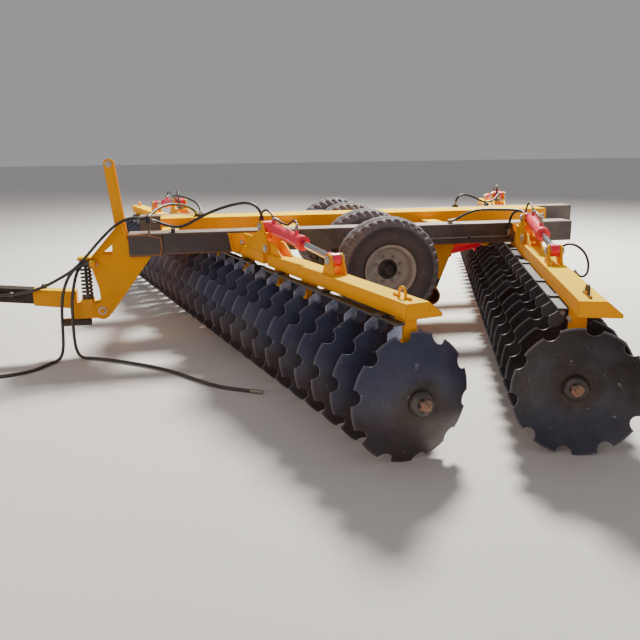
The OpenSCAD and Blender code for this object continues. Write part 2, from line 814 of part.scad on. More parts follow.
module rockshaft() {
  color(yellow) in_machine() translate([shaft_x, 0, shaft_z]) difference() {
    union() {
      lie_along_y() cylinder(d = shaft_d, h = 2 * shaft_half, center = true);
      for (side = [LEFT, RIGHT]) {
        y_lever = side > 0 ? lift_eye_w / 2 + joint_gap : -lift_eye_w / 2 - joint_gap - lever_t;
        along_y(y_lever, y_lever + lever_t)
          strap([0, 0], shaft_d / 2 + 15, lever_r * [cos(lever_angle), sin(lever_angle)], 45);
      }
    }
    lie_along_y() for (side = [LEFT, RIGHT])
      translate([0, 0, side > 0 ? shaft_half - 300 : -shaft_half - 1]) cylinder(d = shaft_d - 2 * shaft_wall, h = 301);
  }
}

// Each arm is clamped on the pipe and carries a through axle for the wheels on both its sides
module wheel_arms() {
  axle_end = 47;
  color(yellow) in_machine() for (side = [LEFT, RIGHT]) translate([shaft_x, side * arm_y, shaft_z]) {
    difference() {
      along_y(-arm_w / 2, arm_w / 2) strap([0, 0], shaft_d / 2 + 20, [shaft_back, shaft_down], wheel_axle_d / 2 + 30);
      lie_along_y() cylinder(d = shaft_d + 2 * running_gap, h = arm_w + 2, center = true);
    }
    translate([shaft_back, side * (wheel_pitch - arm_y), shaft_down]) lie_along_y()
      cylinder(d = wheel_axle_d, h = wheel_pitch + 2 * axle_end, center = true);
  }
}

// Hangers that carry the rockshaft under the rails
module rockshaft_hangers() {
  hanger_w = 70;
  hanger_y = arm_y - arm_w / 2 - 30 - hanger_w / 2;
  ring_r = shaft_d / 2 + 25;
  top_front = -60;
  top_back = -270;
  color(yellow) in_machine() for (side = [LEFT, RIGHT])
    translate([shaft_x, side * hanger_y, shaft_z]) difference() {
      along_y(-hanger_w / 2, hanger_w / 2) {
        circle(ring_r);
        polygon([[-ring_r, 0], [ring_r, 0], [top_front, rail_bottom - shaft_z], [top_back, rail_bottom - shaft_z]]);
      }
      lie_along_y() cylinder(d = shaft_d + 2 * running_gap, h = hanger_w + 2, center = true);
    }
}

// Lift cylinder between the middle beam and the rockshaft's lever
lever_pin = [shaft_x, shaft_z] + lever_r * [cos(lever_angle), sin(lever_angle)];
lift_run = lever_pin - [lift_base_x, lift_base_z];
lift_slope = atan2(lift_run[1], lift_run[0]);
lift_pin_d = 50;

// Two lugs under the middle beam, with the base pin
module lift_lugs() {
  for (side = [LEFT, RIGHT]) {
    y = side > 0 ? lift_eye_w / 2 + joint_gap : -lift_eye_w / 2 - joint_gap - lever_t;
    along_y(y, y + lever_t) {
      translate([lift_base_x, lift_base_z]) circle(42);
      translate([lift_base_x - 60, lift_base_z + 20]) square([120, spine_bottom - lift_base_z - 20]);
    }
  }
  translate([lift_base_x, 0, lift_base_z]) lie_along_y()
    cylinder(d = lift_pin_d, h = lift_eye_w + 2 * (joint_gap + lever_t + 10), center = true);
}

module in_lift_cylinder() {
  in_machine() translate([lift_base_x, 0, lift_base_z]) rotate([0, -lift_slope, 0]) children();
}

module lift_barrel() {
  color(red) in_lift_cylinder() rotate([180, 0, 0]) barrel(lift_barrel_d, lift_barrel_l, lift_rod_d, lift_eye_w, lift_pin_d);
}

module lift_rod() {
  color("silver") in_lift_cylinder() rod(lift_rod_d, lift_barrel_l - 300, norm(lift_run), 84, lift_eye_w);
}

// Drawbar plates at the front of the left rail, in the plane of x and z

plate_hole = [[2345, 815], [2262, 815], [2258, 890]];
plate_out = plate_gap / 2 + plate_t;
spring_ahead = 115;
spring_seat = 90;
spring_top = rail_bottom - 28;

// Front face and middle height of the clip that holds the two loose hoses
hose_clip = [2430, 755];
hose_clip_w = 44;

// Draws an outline as a plate on each side of the drawbar
module both_plates() {
  for (y = [rail_y + plate_gap / 2, rail_y - plate_out]) along_y(y, y + plate_t) children();
}

module drawbar_plates() {
  edge = rail_front;
  behind = 160;
  end_t = 16;
  floor_t = 12;
  bracket_back = 230;
  bracket_front = spring_ahead + 48;
  stop_pin = [pivot_x + 35, rail_bottom - 57];
  color(yellow) in_machine() {
    both_plates() difference() {
      union() {
        polygon([
          [edge, rail_top - 60], [edge + 56, rail_top + 95], [edge + 290, rail_bottom + 4],
          [edge + 308, rail_bottom - 60], [edge + 280, rail_bottom - 150], [edge + 252, rail_bottom - 260],
          [pivot_x, pivot_z], [pivot_x - 70, pivot_z - 30],
          [edge - 170, rail_bottom - floor_t], [edge, rail_bottom - floor_t]
        ]);
        translate([pivot_x, pivot_z]) circle(70);
      }
      polygon(plate_hole);
    }
    translate([pivot_x, rail_y, pivot_z]) lie_along_y() cylinder(d = pin_d, h = 2 * plate_out + 40, center = true);
    translate([stop_pin[0], rail_y, stop_pin[1]]) lie_along_y() cylinder(d = 30, h = 2 * plate_out + 24, center = true);
    block(
      [edge + bracket_back, rail_y - plate_gap / 2 - 1, spring_top],
      [pivot_x + bracket_front, rail_y + plate_gap / 2 + 1, spring_top + 20]
    );
    block(
      [hose_clip[0] - hose_clip_w, rail_y + plate_out - 1, hose_clip[1] - hose_clip_w / 2],
      [hose_clip[0], rail_y + plate_out + 104, hose_clip[1] + hose_clip_w / 2]
    );
    block([edge, rail_y - plate_out, rail_bottom], [edge + end_t, rail_y + plate_out, rail_top - 70]);
    block([edge - behind, rail_y - plate_out, rail_bottom - floor_t], [edge + end_t, rail_y + plate_out, rail_bottom]);
  }
}

module mast() {
  lean = [62, mast_top - rail_top + 30];
  foot = [rail_front + 50, rail_top - 30];
  bar_gap = 60;
  color(yellow) in_machine() difference() {
    union() {
      for (side = [LEFT, RIGHT])
        along_y(rail_y + (side > 0 ? bar_gap / 2 : -bar_gap / 2 - 12), rail_y + (side > 0 ? bar_gap / 2 + 12 : -bar_gap / 2))
          strap(foot, mast_w / 2, foot + lean, mast_w / 2);
      along_y(rail_y - plate_gap / 2, rail_y + plate_gap / 2) translate(foot) square([46, 80], center = true);
    }
    translate([foot[0] + lean[0], rail_y, foot[1] + lean[1]]) lie_along_y() cylinder(d = 26, h = 2 * plate_gap, center = true);
  }
}

// Drawbar: pivot box between the plates, tongue and tube, rising forward to the hitch eye
module drawbar() {
  half = bar_tube / 2;
  run = hitch_x - pivot_x;
  rise = run * tan(drawbar_rise);
  box_h = 64;
  box_l = 250;
  tongue_l = 520;
  stop_d = 66;
  stop_l = 220;
  color(yellow) in_machine() translate([pivot_x, rail_y, pivot_z]) difference() {
    union() {
      along_y(-half, half) {
        circle(box_h);
        polygon([[0, -box_h], [box_l, -box_h], [box_l, 60], [0, 60]]);
        polygon([[200, 20], [tongue_l, 62], [tongue_l, 190], [200, 160]]);
        translate([spring_ahead - 45, 59]) square([90, spring_seat - 59]);
      }
      color(rail_black) along_y(-half, half)
        polygon([[tongue_l - 40, 72], [run - 120, rise - 52], [run - 120, rise + 56], [tongue_l - 40, 186]]);
      color(rail_black) translate([100, half - stop_d / 2 - 4, -box_h - stop_d / 2 + 2]) rotate([0, 90, 0])
        cylinder(d = stop_d, h = stop_l);
      color(rail_black) translate([run, 0, rise]) cylinder(r = eye_r, h = 60, center = true);
      color(rail_black) block([run - 160, -eye_r, rise - 30], [run, eye_r, rise + 30]);
    }
    lie_along_y() cylinder(d = pin_d + 2 * running_gap, h = bar_tube + 2, center = true);
    translate([run, 0, rise]) cylinder(d = hitch_d, h = 62, center = true);
  }
}

// Spring around its rod, between a bracket on the plates and a seat on the drawbar's pivot box
soft_gap = 0.3;

module drawbar_spring() {
  wire = 14;
  coil_r = 40;
  turns = 8;
  seat = pivot_z + spring_seat + soft_gap;
  top = spring_top;
  x = pivot_x + spring_ahead;
  color([0.15, 0.15, 0.16]) in_machine() translate([x, rail_y, 0]) {
    translate([0, 0, seat]) cylinder(d = 24, h = top - seat);
    for (i = [0:turns - 1])
      translate([0, 0, seat + wire / 2 + 1 + i * (top - seat - wire - 20) / (turns - 1)])
        rotate_extrude() translate([coil_r, 0]) circle(d = wire, $fn = 16);
    translate([0, 0, seat]) cylinder(r = coil_r - 2, h = 8);
    translate([0, 0, top - 12]) cylinder(r = coil_r + 6, h = 12);
    for (a = [0, 120, 240]) rotate([0, 0, a]) translate([coil_r - 8, -4, seat]) cube([8, 8, top - seat - 2]);
  }
}

// Parking jack on the drawbar's left side
jack_y = rail_y + bar_tube / 2 + jack_d / 2 + 12;
jack_low = 210;
jack_high = 900;
jack_leg_top = 520;

module jack_tube() {
  mount_z = pivot_z + (jack_x - pivot_x) * tan(drawbar_rise);
  color(yellow) in_machine() difference() {
    union() {
      translate([jack_x, jack_y, jack_low]) cylinder(d = jack_d, h = jack_high - jack_low);
      block([jack_x - 60, rail_y + bar_tube / 2, mount_z - 40], [jack_x + 60, jack_y - jack_d / 2 + 10, mount_z + 40]);
      translate([jack_x, jack_y, jack_high]) cylinder(d = jack_d + 14, h = 30);
      translate([jack_x, jack_y, jack_high - 30]) lie_along_y() cylinder(d = 20, h = 120);
      translate([jack_x, jack_y + 112, jack_high - 30]) rotate([0, 90, 0]) cylinder(d = 16, h = 150);
    }
    translate([jack_x, jack_y, jack_low - 1]) cylinder(d = jack_leg_d + 2 * running_gap, h = jack_high - jack_low - 40);
  }
}

module jack_leg() {
  color([0.5, 0.5, 0.5]) in_machine() translate([jack_x, jack_y, 0]) {
    cylinder(d = jack_leg_d, h = jack_leg_top);
    translate([-jack_foot / 2, -jack_foot / 2, 0]) cube([jack_foot, jack_foot, 12]);
  }
}

// Hoses. Each is one tube swept along its points, which are in the machine's frame.

function unit(v) = v / norm(v);
function tangents(p) = [for (i = [0:len(p) - 1]) unit(p[min(i + 1, len(p) - 1)] - p[max(i - 1, 0)])];
function square_to(u, t) = unit(u - (u * t) * t);
function carried(t) = [
  for (i = 0, u = square_to([0.3, 0.31, 0.9], t[0]); i < len(t); i = i + 1, u = square_to(u, t[min(i, len(t) - 1)])) u
];

module hose(points, d) {
  sides = 8;
  n = len(points);
  t = tangents(points);
  u = carried(t);
  rings = [
    for (i = [0:n - 1], k = [0:sides - 1])
      points[i] + d / 2 * (cos(k * 360 / sides) * u[i] + sin(k * 360 / sides) * cross(t[i], u[i]))
  ];
  walls = [
    for (i = [0:n - 2], k = [0:sides - 1], half = [0, 1])
      let (a = i * sides + k, b = i * sides + (k + 1) % sides)
      half == 0 ? [a, a + sides, b] : [b, a + sides, b + sides]
  ];
  polyhedron(rings, concat([[for (k = [0:sides - 1]) k], [for (k = [sides - 1:-1:0]) (n - 1) * sides + k]], walls));
}

// A hose's shifted copy runs beside it
function beside(points, shift) = [for (p = points) p + shift];

front_left_route = [
  [1948, 850, 1078], [1892, 848, 1060], [1836, 848, 1038], [1780, 850, 1022], [1722, 855, 1020], [1666, 864, 1038],
  [1614, 878, 1066], [1562, 898, 1094], [1512, 924, 1120], [1464, 955, 1143], [1417, 989, 1163], [1370, 1024, 1181],
  [1322, 1057, 1196], [1273, 1088, 1208], [1224, 1114, 1214], [1177, 1134, 1207], [1137, 1148, 1182],
  [1110, 1156, 1138], [1097, 1159, 1084], [1093, 1160, 1024]
];
across_route = [
  [1966, 800, 1092], [1950, 748, 1112], [1926, 694, 1130], [1898, 640, 1146], [1869, 585, 1157], [1838, 530, 1163],
  [1806, 474, 1166], [1774, 418, 1163], [1743, 361, 1156], [1713, 304, 1146], [1684, 247, 1134], [1655, 190, 1119],
  [1626, 135, 1099], [1598, 88, 1072], [1578, 60, 1038]
];
front_right_route = [
  [1540, -10, 1042], [1546, -52, 1080], [1560, -106, 1108], [1578, -164, 1126], [1597, -224, 1137],
  [1617, -284, 1144], [1638, -344, 1149], [1659, -404, 1153], [1681, -464, 1156], [1703, -524, 1158],
  [1725, -584, 1159], [1746, -645, 1158], [1766, -706, 1156], [1783, -768, 1152], [1796, -831, 1147],
  [1803, -895, 1140], [1802, -959, 1131], [1792, -1021, 1119], [1774, -1079, 1100], [1750, -1128, 1074],
  [1728, -1160, 1036], [1720, -1171, 1000]
];
rear_left_route = [
  [-1060, 851, 872], [-1059, 856, 924], [-1057, 872, 978], [-1055, 904, 1030], [-1056, 956, 1068],
  [-1061, 1016, 1086], [-1069, 1076, 1086], [-1079, 1126, 1062], [-1088, 1149, 1014]
];
rear_arch_route = [
  [-1187, -760, 978], [-1196, -764, 1030], [-1224, -772, 1076], [-1276, -784, 1096], [-1338, -796, 1090],
  [-1398, -808, 1072], [-1456, -820, 1048], [-1514, -832, 1024], [-1574, -846, 1006], [-1636, -866, 1010],
  [-1692, -896, 1032], [-1742, -936, 1060], [-1784, -984, 1082], [-1818, -1038, 1086], [-1842, -1092, 1064],
  [-1855, -1132, 1012]
];
supply_route = [
  [1985.3, 842, 1092], [2012, 842, 1092], [2056, 848, 1097], [2104, 856, 1096], [2152, 862, 1081], [2204, 866, 1054], [2254, 868, 1016],
  [2302, 868, 972], [2348, 868, 926], [2392, 868, 879], [2436, 866, 831], [2480, 862, 784], [2526, 856, 740],
  [2574, 848, 701], [2626, 840, 667], [2682, 830, 636], [2738, 821, 606], [2796, 813, 580], [2856, 810, 558],
  [2916, 809, 542], [2978, 809, 533], [3042, 809, 528], [3108, 809, 526], [3172, 809, 532], [3234, 809, 548],
  [3292, 809, 574], [3344, 809, 607], [3396, 796, 631], [3452, 776, 635], [3512, 761, 635], [3574, 755, 637],
  [3638, 753, 643], [3702, 752, 650], [3766, 752, 657], [3800, 752, 661]
];
drop_route = [
  [2430, 912, 755], [2456, 912, 755], [2502, 918, 744], [2546, 922, 716], [2584, 922, 672], [2614, 920, 618],
  [2636, 917, 560], [2652, 914, 500], [2662, 911, 438], [2668, 910, 376], [2671, 911, 314], [2673, 913, 252],
  [2675, 918, 190],
  [2678, 926, 128], [2686, 938, 72], [2702, 957, 32], [2728, 988, 14], [2758, 1030, 13], [2786, 1081, 13],
  [2815, 1135, 13], [2850, 1185, 13], [2895, 1228, 13], [2950, 1260, 13], [3012, 1283, 13], [3078, 1298, 13],
  [3144, 1310, 13], [3210, 1320, 13], [3275, 1327, 13], [3340, 1330, 13]
];
ground_route = [
  [2430, 838, 755], [2456, 838, 755], [2496, 842, 738], [2530, 850, 696], [2552, 856, 640], [2568, 862, 580],
  [2580, 867, 520], [2589, 871, 458], [2594, 874, 396], [2596, 878, 332], [2597, 882, 266], [2597, 887, 200],
  [2594, 895, 136],
  [2585, 907, 78], [2564, 922, 34], [2526, 938, 14], [2474, 957, 13], [2414, 985, 13], [2354, 1018, 13],
  [2296, 1054, 13], [2240, 1092, 13], [2184, 1132, 13], [2128, 1174, 13], [2072, 1217, 13], [2018, 1262, 13],
  [1966, 1309, 13], [1916, 1358, 13], [1868, 1409, 13], [1822, 1462, 13], [1778, 1516, 13], [1736, 1572, 13],
  [1694, 1628, 13], [1652, 1684, 13], [1610, 1740, 13], [1566, 1795, 13], [1518, 1847, 13], [1464, 1893, 13],
  [1405, 1933, 13], [1345, 1970, 13], [1286, 2008, 13]
];

fitting_d = 34;
fitting_l = 44;

// A hexagonal fitting with a collar, from its seat upwards
module fitting() {
  cylinder(d = fitting_d, h = fitting_l / 2, $fn = 6);
  cylinder(d = hose_d + 6, h = fitting_l);
}

// The fittings on a tower's bar, and the hoses and hard pipe that rest on the frame
module frame_hoses() {
  clamp_x = [1948, 1985];
  clamp_y = [800, 905];
  post_t = 12;
  clamp_top = 1112;
  pipe_y = rail_y + rail_w / 2 + pipe_d / 2 + soft_gap;
  pipe_z = rail_bottom + 55;
  pipe_x = [-1060, 300];
  manifold_x = [1500, 1600];
  spine_top = spine_bottom + spine_h;
  color(hose_black) {
    in_machine() {
      block([clamp_x[0], clamp_y[0], clamp_top - 56], [clamp_x[1], clamp_y[1], clamp_top]);
      block([clamp_x[0] + post_t, clamp_y[0], rail_top], [clamp_x[0] + 2 * post_t, rail_y + rail_w / 2, clamp_top - 50]);
      block([1764, rail_y + 30, rail_top], [1796, rail_y + rail_w / 2 + 30, 1040]);
      block([manifold_x[0], -50, spine_top], [manifold_x[1], 80, spine_top + 24]);
      block([-1215, -790, rail_top], [-1160, -735, rail_top + 22]);
      block([-1590, -866, rail_top], [-1558, -800, 1022]);
      for (route = [front_left_route, across_route, front_right_route, rear_left_route, rear_arch_route])
        hose(route, hose_d);
      translate([pipe_x[0], pipe_y, pipe_z]) rotate([0, 90, 0]) cylinder(d = pipe_d, h = pipe_x[1] - pipe_x[0]);
      for (x = [pipe_x[0], -700, pipe_x[1]])
        block([x - 16, rail_y + rail_w / 2, pipe_z - 20], [x + 16, pipe_y + pipe_d / 2 + 5, pipe_z + 20]);
    }
    for (row = [FRONT, REAR], side = [LEFT, RIGHT])
      in_row(row) translate([beam_mid, side * (hinge_s - hose_bar_in), hinge_z + hose_bar_top]) fitting();
  }
}

// Two hoses clipped along the drawbar, with couplings in a holder behind the hitch
module supply_hoses() {
  pair = [0, 24, 0];
  face = rail_y + bar_tube / 2;
  holder_x = 3800;
  holder_z = 645;
  color(hose_black) in_machine() {
    hose(supply_route, hose_d);
    hose(beside(supply_route, pair), hose_d);
    block([2780, face, 566], [2812, 852, 598]);
    block([3026, face, 512], [3058, 848, 544]);
    block([3560, 738, 622], [3580, 792, 652]);
    block([holder_x, 730, holder_z], [holder_x + 12, 798, holder_z + 40]);
    for (y = [752, 776]) translate([holder_x, y, 661]) rotate([0, 84, 0]) {
      cylinder(d = 30, h = 50);
      cylinder(d = 24, h = 95);
    }
  }
}

// One loose hose drops to the ground and runs forward to its coil.
coil_middle = [3340, 1174];
coil_turns = 3;
coil_r = 11 * loose_hose_d / 2;

module drop_hose() {
  color(hose_black) in_machine() hose(drop_route, loose_hose_d);
}

module hose_coil() {
  inner = coil_r - coil_turns * loose_hose_d / 2;
  outer = coil_r + coil_turns * loose_hose_d / 2;
  round = loose_hose_d / 2;
  color(hose_black) in_machine() translate([coil_middle[0], coil_middle[1], 1]) {
    rotate_extrude() {
      for (r = [inner + round, outer - round]) translate([r, round]) circle(round);
      translate([inner + round, 0]) square([outer - inner - 2 * round, 2 * round]);
    }
    // The coupling on the hose's end lies inside the turns
    translate([-48, -72, fitting_d / 2 - 2]) rotate([0, 90, 125]) cylinder(d = fitting_d - 4, h = 90);
  }
}

// The other lies on the ground beside the left wing's discs, with a coupling on its end
module ground_hose() {
  color(hose_black) in_machine() hose(ground_route, loose_hose_d);
}

module ground_coupling() {
  n = len(ground_route);
  end = ground_route[n - 1];
  way = end - ground_route[n - 2];
  color([0.5, 0.5, 0.5]) in_machine() translate([end[0], end[1], fitting_d / 2 + 1])
    rotate([0, 90, atan2(way[1], way[0])]) {
      cylinder(d = fitting_d, h = 40);
      translate([0, 0, 40]) cylinder(d = 26, h = 50);
    }
}

rails();
spine();
cross_members();
middle_beams();
front_left_beam();
front_right_beam();
rear_left_beam();
rear_right_beam();
middle_stands();
front_left_stands();
front_right_stands();
rear_left_stands();
rear_right_stands();
middle_scrapers();
front_left_scrapers();
front_right_scrapers();
rear_left_scrapers();
rear_right_scrapers();
front_middle_discs();
rear_middle_discs();
front_left_discs();
front_right_discs();
rear_left_discs();
rear_right_discs();
front_middle_axle();
rear_middle_axle();
front_left_axle();
front_right_axle();
rear_left_axle();
rear_right_axle();
fold_towers();
front_left_fold_barrel();
front_right_fold_barrel();
rear_left_fold_barrel();
rear_right_fold_barrel();
front_left_fold_rod();
front_right_fold_rod();
rear_left_fold_rod();
rear_right_fold_rod();
left_tyres();
right_tyres();
left_wheels();
right_wheels();
rockshaft();
wheel_arms();
rockshaft_hangers();
lift_barrel();
lift_rod();
drawbar_plates();
mast();
drawbar();
drawbar_spring();
jack_tube();
jack_leg();
frame_hoses();
supply_hoses();
drop_hose();
hose_coil();
ground_hose();
ground_coupling();
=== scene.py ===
from math import atan2, cos, pi, radians, sin, tan

import bmesh
import bpy
from mathutils import Euler, Matrix, Vector


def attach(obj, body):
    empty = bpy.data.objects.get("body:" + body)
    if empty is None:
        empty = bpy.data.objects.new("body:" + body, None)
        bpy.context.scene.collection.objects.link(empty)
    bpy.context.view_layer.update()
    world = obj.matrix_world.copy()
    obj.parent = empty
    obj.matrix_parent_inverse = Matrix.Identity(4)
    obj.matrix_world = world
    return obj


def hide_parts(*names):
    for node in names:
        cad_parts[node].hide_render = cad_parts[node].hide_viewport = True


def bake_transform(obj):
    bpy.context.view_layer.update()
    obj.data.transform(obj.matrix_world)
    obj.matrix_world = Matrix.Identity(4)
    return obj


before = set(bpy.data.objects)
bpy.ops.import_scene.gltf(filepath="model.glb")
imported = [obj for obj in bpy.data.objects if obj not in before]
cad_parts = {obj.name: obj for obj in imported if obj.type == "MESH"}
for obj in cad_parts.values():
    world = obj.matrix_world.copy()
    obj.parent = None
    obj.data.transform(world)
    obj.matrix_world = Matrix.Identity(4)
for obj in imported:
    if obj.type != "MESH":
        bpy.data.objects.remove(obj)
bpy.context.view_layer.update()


# Camera: a standing person's view from beyond the harrow's left side, looking a little down and towards
# the rear. The focal length is in pixels of a 640 pixel wide picture.
EYE = Vector((1.015, 6.621, 1.645))
HEADING = -0.18
PITCH = 0.243
ROLL = -0.01
FOCAL_PIXELS = 710
PICTURE_PIXELS = 640
SENSOR = 36
FAR_CLIP = 200
camera_data = bpy.data.cameras.new("camera")
camera_data.sensor_width = SENSOR
camera_data.lens = SENSOR * FOCAL_PIXELS / PICTURE_PIXELS
camera_data.clip_end = FAR_CLIP
camera = bpy.data.objects.new("camera", camera_data)
bpy.context.collection.objects.link(camera)
turn = Euler((pi / 2 - PITCH, 0, pi + HEADING)).to_matrix() @ Matrix.Rotation(ROLL, 3, "Z")
camera.matrix_world = Matrix.Translation(EYE) @ turn.to_4x4()
bpy.context.scene.camera = camera


# Weather: what sun, soil and use do to every finish. The colour fades in patches, soil lies on what faces up
# and on what is near the ground, and edges are rubbed through to what is under the finish; where that under
# colour is pale, the edge band is also a painted highlight. Lengths and heights in a finish are in metres.
EDGE_ROUNDING = 0.003
EDGE_WEAR_AND_HIGHLIGHT_WIDTH = 0.007
BLEACHED = (0.95, 0.9, 0.82, 1)
DARKENED = (0.05, 0.03, 0.02, 1)
SPLASH_TOP, SPLASH_FULL = 0.95, 0.1
RELIEF_DEPTH = 0.002
SOILED_ROUGHNESS = 0.95
COAT_ROUGHNESS = 0.15


def ink(red, green, blue):
    """A colour given as 0 to 255 in sRGB."""
    parts = (red, green, blue)
    return tuple(((v / 255 + 0.055) / 1.055) ** 2.4 if v > 10 else v / 3295 for v in parts) + (1,)


def add(tree, kind, inputs={}, **settings):
    """Adds a shader node, sets its properties, and sets or links its inputs."""
    made = tree.nodes.new("ShaderNode" + kind)
    for key, value in settings.items():
        setattr(made, key, value)
    for key, value in inputs.items():
        if isinstance(value, bpy.types.NodeSocket):
            tree.links.new(value, made.inputs[key])
        else:
            made.inputs[key].default_value = value
    return made


def calc(tree, operation, a, b=0.0, clamp=False):
    return add(tree, "Math", {0: a, 1: b}, operation=operation, use_clamp=clamp).outputs[0]


def between(tree, value, low, high, to_low=0.0, to_high=1.0):
    """Goes smoothly from one number to another as a value passes from low to high."""
    inputs = {"Value": value, "From Min": low, "From Max": high, "To Min": to_low, "To Max": to_high}
    return add(tree, "MapRange", inputs, interpolation_type="SMOOTHSTEP").outputs[0]


def mix(tree, share, a, b):
    return add(tree, "Mix", {0: share, 6: a, 7: b}, data_type="RGBA").outputs[2]


def noise(tree, place, scale, detail=4.0, roughness=0.6):
    inputs = {"Vector": place, "Scale": scale, "Detail": detail, "Roughness": roughness}
    return add(tree, "TexNoise", inputs).outputs["Fac"]


def surface(tree, kind="Object"):
    """The place on a piece, or its normal, in the piece's own frame."""
    return add(tree, "TexCoord").outputs[kind]


def parts_of(tree, vector):
    return add(tree, "SeparateXYZ", {0: vector}).outputs


def new_group(name, inputs, outputs):
    """A node group with named inputs (kind and value) and outputs (kind)."""
    group = bpy.data.node_groups.new(name, "ShaderNodeTree")
    for key, (kind, value) in inputs.items():
        socket = group.interface.new_socket(key, in_out="INPUT", socket_type="NodeSocket" + kind)
        socket.default_value = value
    for key, kind in outputs.items():
        group.interface.new_socket(key, in_out="OUTPUT", socket_type="NodeSocket" + kind)
    return group, group.nodes.new("NodeGroupInput").outputs, group.nodes.new("NodeGroupOutput").inputs


def weather():
    """The group: colour, how far it is rubbed (an edge band that is also a painted highlight) and soiled,
    fine relief, and normals rounded at the edges.
    """
    group, given, out = new_group(
        "weather",
        {
            "Finish": ("Color", (0.5, 0.5, 0.5, 1)),
            "Under": ("Color", ink(74, 48, 36)),
            "Soil": ("Color", ink(168, 140, 116)),
            "Fading": ("Float", 0.15),
            "Dust": ("Float", 0.5),
            "Splash": ("Float", 0.5),
            "Rubbing": ("Float", 0.5),
        },
        {"Color": "Color", "Rubbed_and_edge_highlight": "Float", "Soiled": "Float", "Height": "Float", "Rounded": "Vector"},
    )
    spot = surface(group)
    broad = noise(group, spot, 1.9, 5.0)
    patch = noise(group, spot, 12.0, 5.0, 0.65)
    grain = noise(group, spot, 95.0, 3.0)

    # Bleached in broad patches, darker in small ones
    pale = calc(group, "MULTIPLY", between(group, broad, 0.35, 0.7), given["Fading"])
    dark = calc(group, "MULTIPLY", between(group, patch, 0.55, 0.3), given["Fading"])
    faded = mix(group, dark, mix(group, pale, given["Finish"], BLEACHED), DARKENED)

    # Rubbed where a wide rounding turns away from the flat surface, and in small chips; where the under
    # colour is pale, this edge band is also a painted highlight
    rounded = add(group, "Bevel", {"Radius": EDGE_ROUNDING}, samples=4).outputs[0]
    wide = add(group, "Bevel", {"Radius": EDGE_WEAR_AND_HIGHLIGHT_WIDTH}, samples=4).outputs[0]
    flat = add(group, "NewGeometry").outputs["Normal"]
    alike = add(group, "VectorMath", {0: wide, 1: flat}, operation="DOT_PRODUCT").outputs["Value"]
    turned_off = calc(group, "SUBTRACT", 1.0, alike)
    uneven = calc(group, "ADD", turned_off, calc(group, "MULTIPLY", patch, 0.5))
    edge = calc(group, "MULTIPLY", between(group, uneven, 0.33, 0.45), between(group, turned_off, 0.01, 0.05))
    chip = between(group, noise(group, spot, 31.0, 4.0, 0.7), 0.665, 0.70)
    rubbed_with_painted_light = calc(group, "MULTIPLY", calc(group, "MAXIMUM", edge, chip), given["Rubbing"], clamp=True)

    # Soil lies on top and is splashed up from below
    up = parts_of(group, surface(group, "Normal"))[2]
    height = parts_of(group, spot)[2]
    lying = calc(group, "MULTIPLY", between(group, up, 0.1, 0.95), given["Dust"])
    splashed = calc(group, "MULTIPLY", between(group, height, SPLASH_TOP, SPLASH_FULL), given["Splash"])
    thickest = calc(group, "MAXIMUM", lying, splashed)
    soiled = calc(group, "MULTIPLY", thickest, between(group, patch, 0.3, 0.68, 0.25, 1.0), clamp=True)

    relief = calc(group, "ADD", calc(group, "MULTIPLY", patch, 0.35), calc(group, "MULTIPLY", grain, 0.2))
    relief = calc(group, "SUBTRACT", relief, calc(group, "MULTIPLY", rubbed_with_painted_light, 0.3))
    color = mix(group, soiled, mix(group, rubbed_with_painted_light, faded, given["Under"]), given["Soil"])
    made = {"Color": color, "Rubbed_and_edge_highlight": rubbed_with_painted_light, "Soiled": soiled, "Height": relief, "Rounded": rounded}
    for name, value in made.items():
        group.links.new(value, out[name])
    return group


WEATHER = weather()


def finish(name, color, roughness=0.45, metallic=0.0, coat=0.0, bump=0.35, specular=0.5, **wear):
    """A material with the weather on it. Its colour is plain, or a function that makes it from nodes."""
    material = bpy.data.materials.new(name)
    material.use_nodes = True
    tree = material.node_tree
    tree.nodes.clear()
    if callable(color):
        color = color(tree)
    worn = tree.nodes.new("ShaderNodeGroup")
    worn.node_tree = WEATHER
    for key, value in {"Finish": color, **wear}.items():
        if isinstance(value, bpy.types.NodeSocket):
            tree.links.new(value, worn.inputs[key])
        else:
            worn.inputs[key].default_value = value
    relief = {
        "Strength": bump,
        "Distance": RELIEF_DEPTH,
        "Height": worn.outputs["Height"],
        "Normal": worn.outputs["Rounded"],
    }
    inputs = {
        "Base Color": worn.outputs["Color"],
        "Roughness": between(tree, worn.outputs["Soiled"], 0.0, 1.0, roughness, SOILED_ROUGHNESS),
        "Normal": add(tree, "Bump", relief).outputs[0],
        "Coat Weight": coat,
        "Coat Roughness": COAT_ROUGHNESS,
        "Specular IOR Level": specular,
    }
    if metallic:
        inputs["Metallic"] = between(tree, worn.outputs["Soiled"], 0.0, 1.0, metallic, 0.0)
    shader = add(tree, "BsdfPrincipled", inputs)
    add(tree, "OutputMaterial", {"Surface": shader.outputs[0]})
    return material


# Floor and light: a plain pale floor, a firm light high behind the far rear corner, where the tops of the
# beams catch it, a weak warm one behind the camera, and an even sky.
FLOOR_SIZE = 60
FLOOR_Z = -0.001
PAPER = ink(214, 208, 202), ink(222, 217, 212)
PAPER_ROUGHNESS = 0.9
SKY_COLOUR = (0.95, 0.95, 1.0, 1)
SKY_STRENGTH = 0.36


def light(name, place, aim, size, power, color):
    data = bpy.data.lights.new(name, "AREA")
    data.shape = "DISK"
    data.size = size
    data.energy = power
    data.color = color
    lamp = bpy.data.objects.new(name, data)
    bpy.context.collection.objects.link(lamp)
    aimed = (Vector(aim) - Vector(place)).to_track_quat("-Z", "Y").to_matrix().to_4x4()
    lamp.matrix_world = Matrix.Translation(place) @ aimed


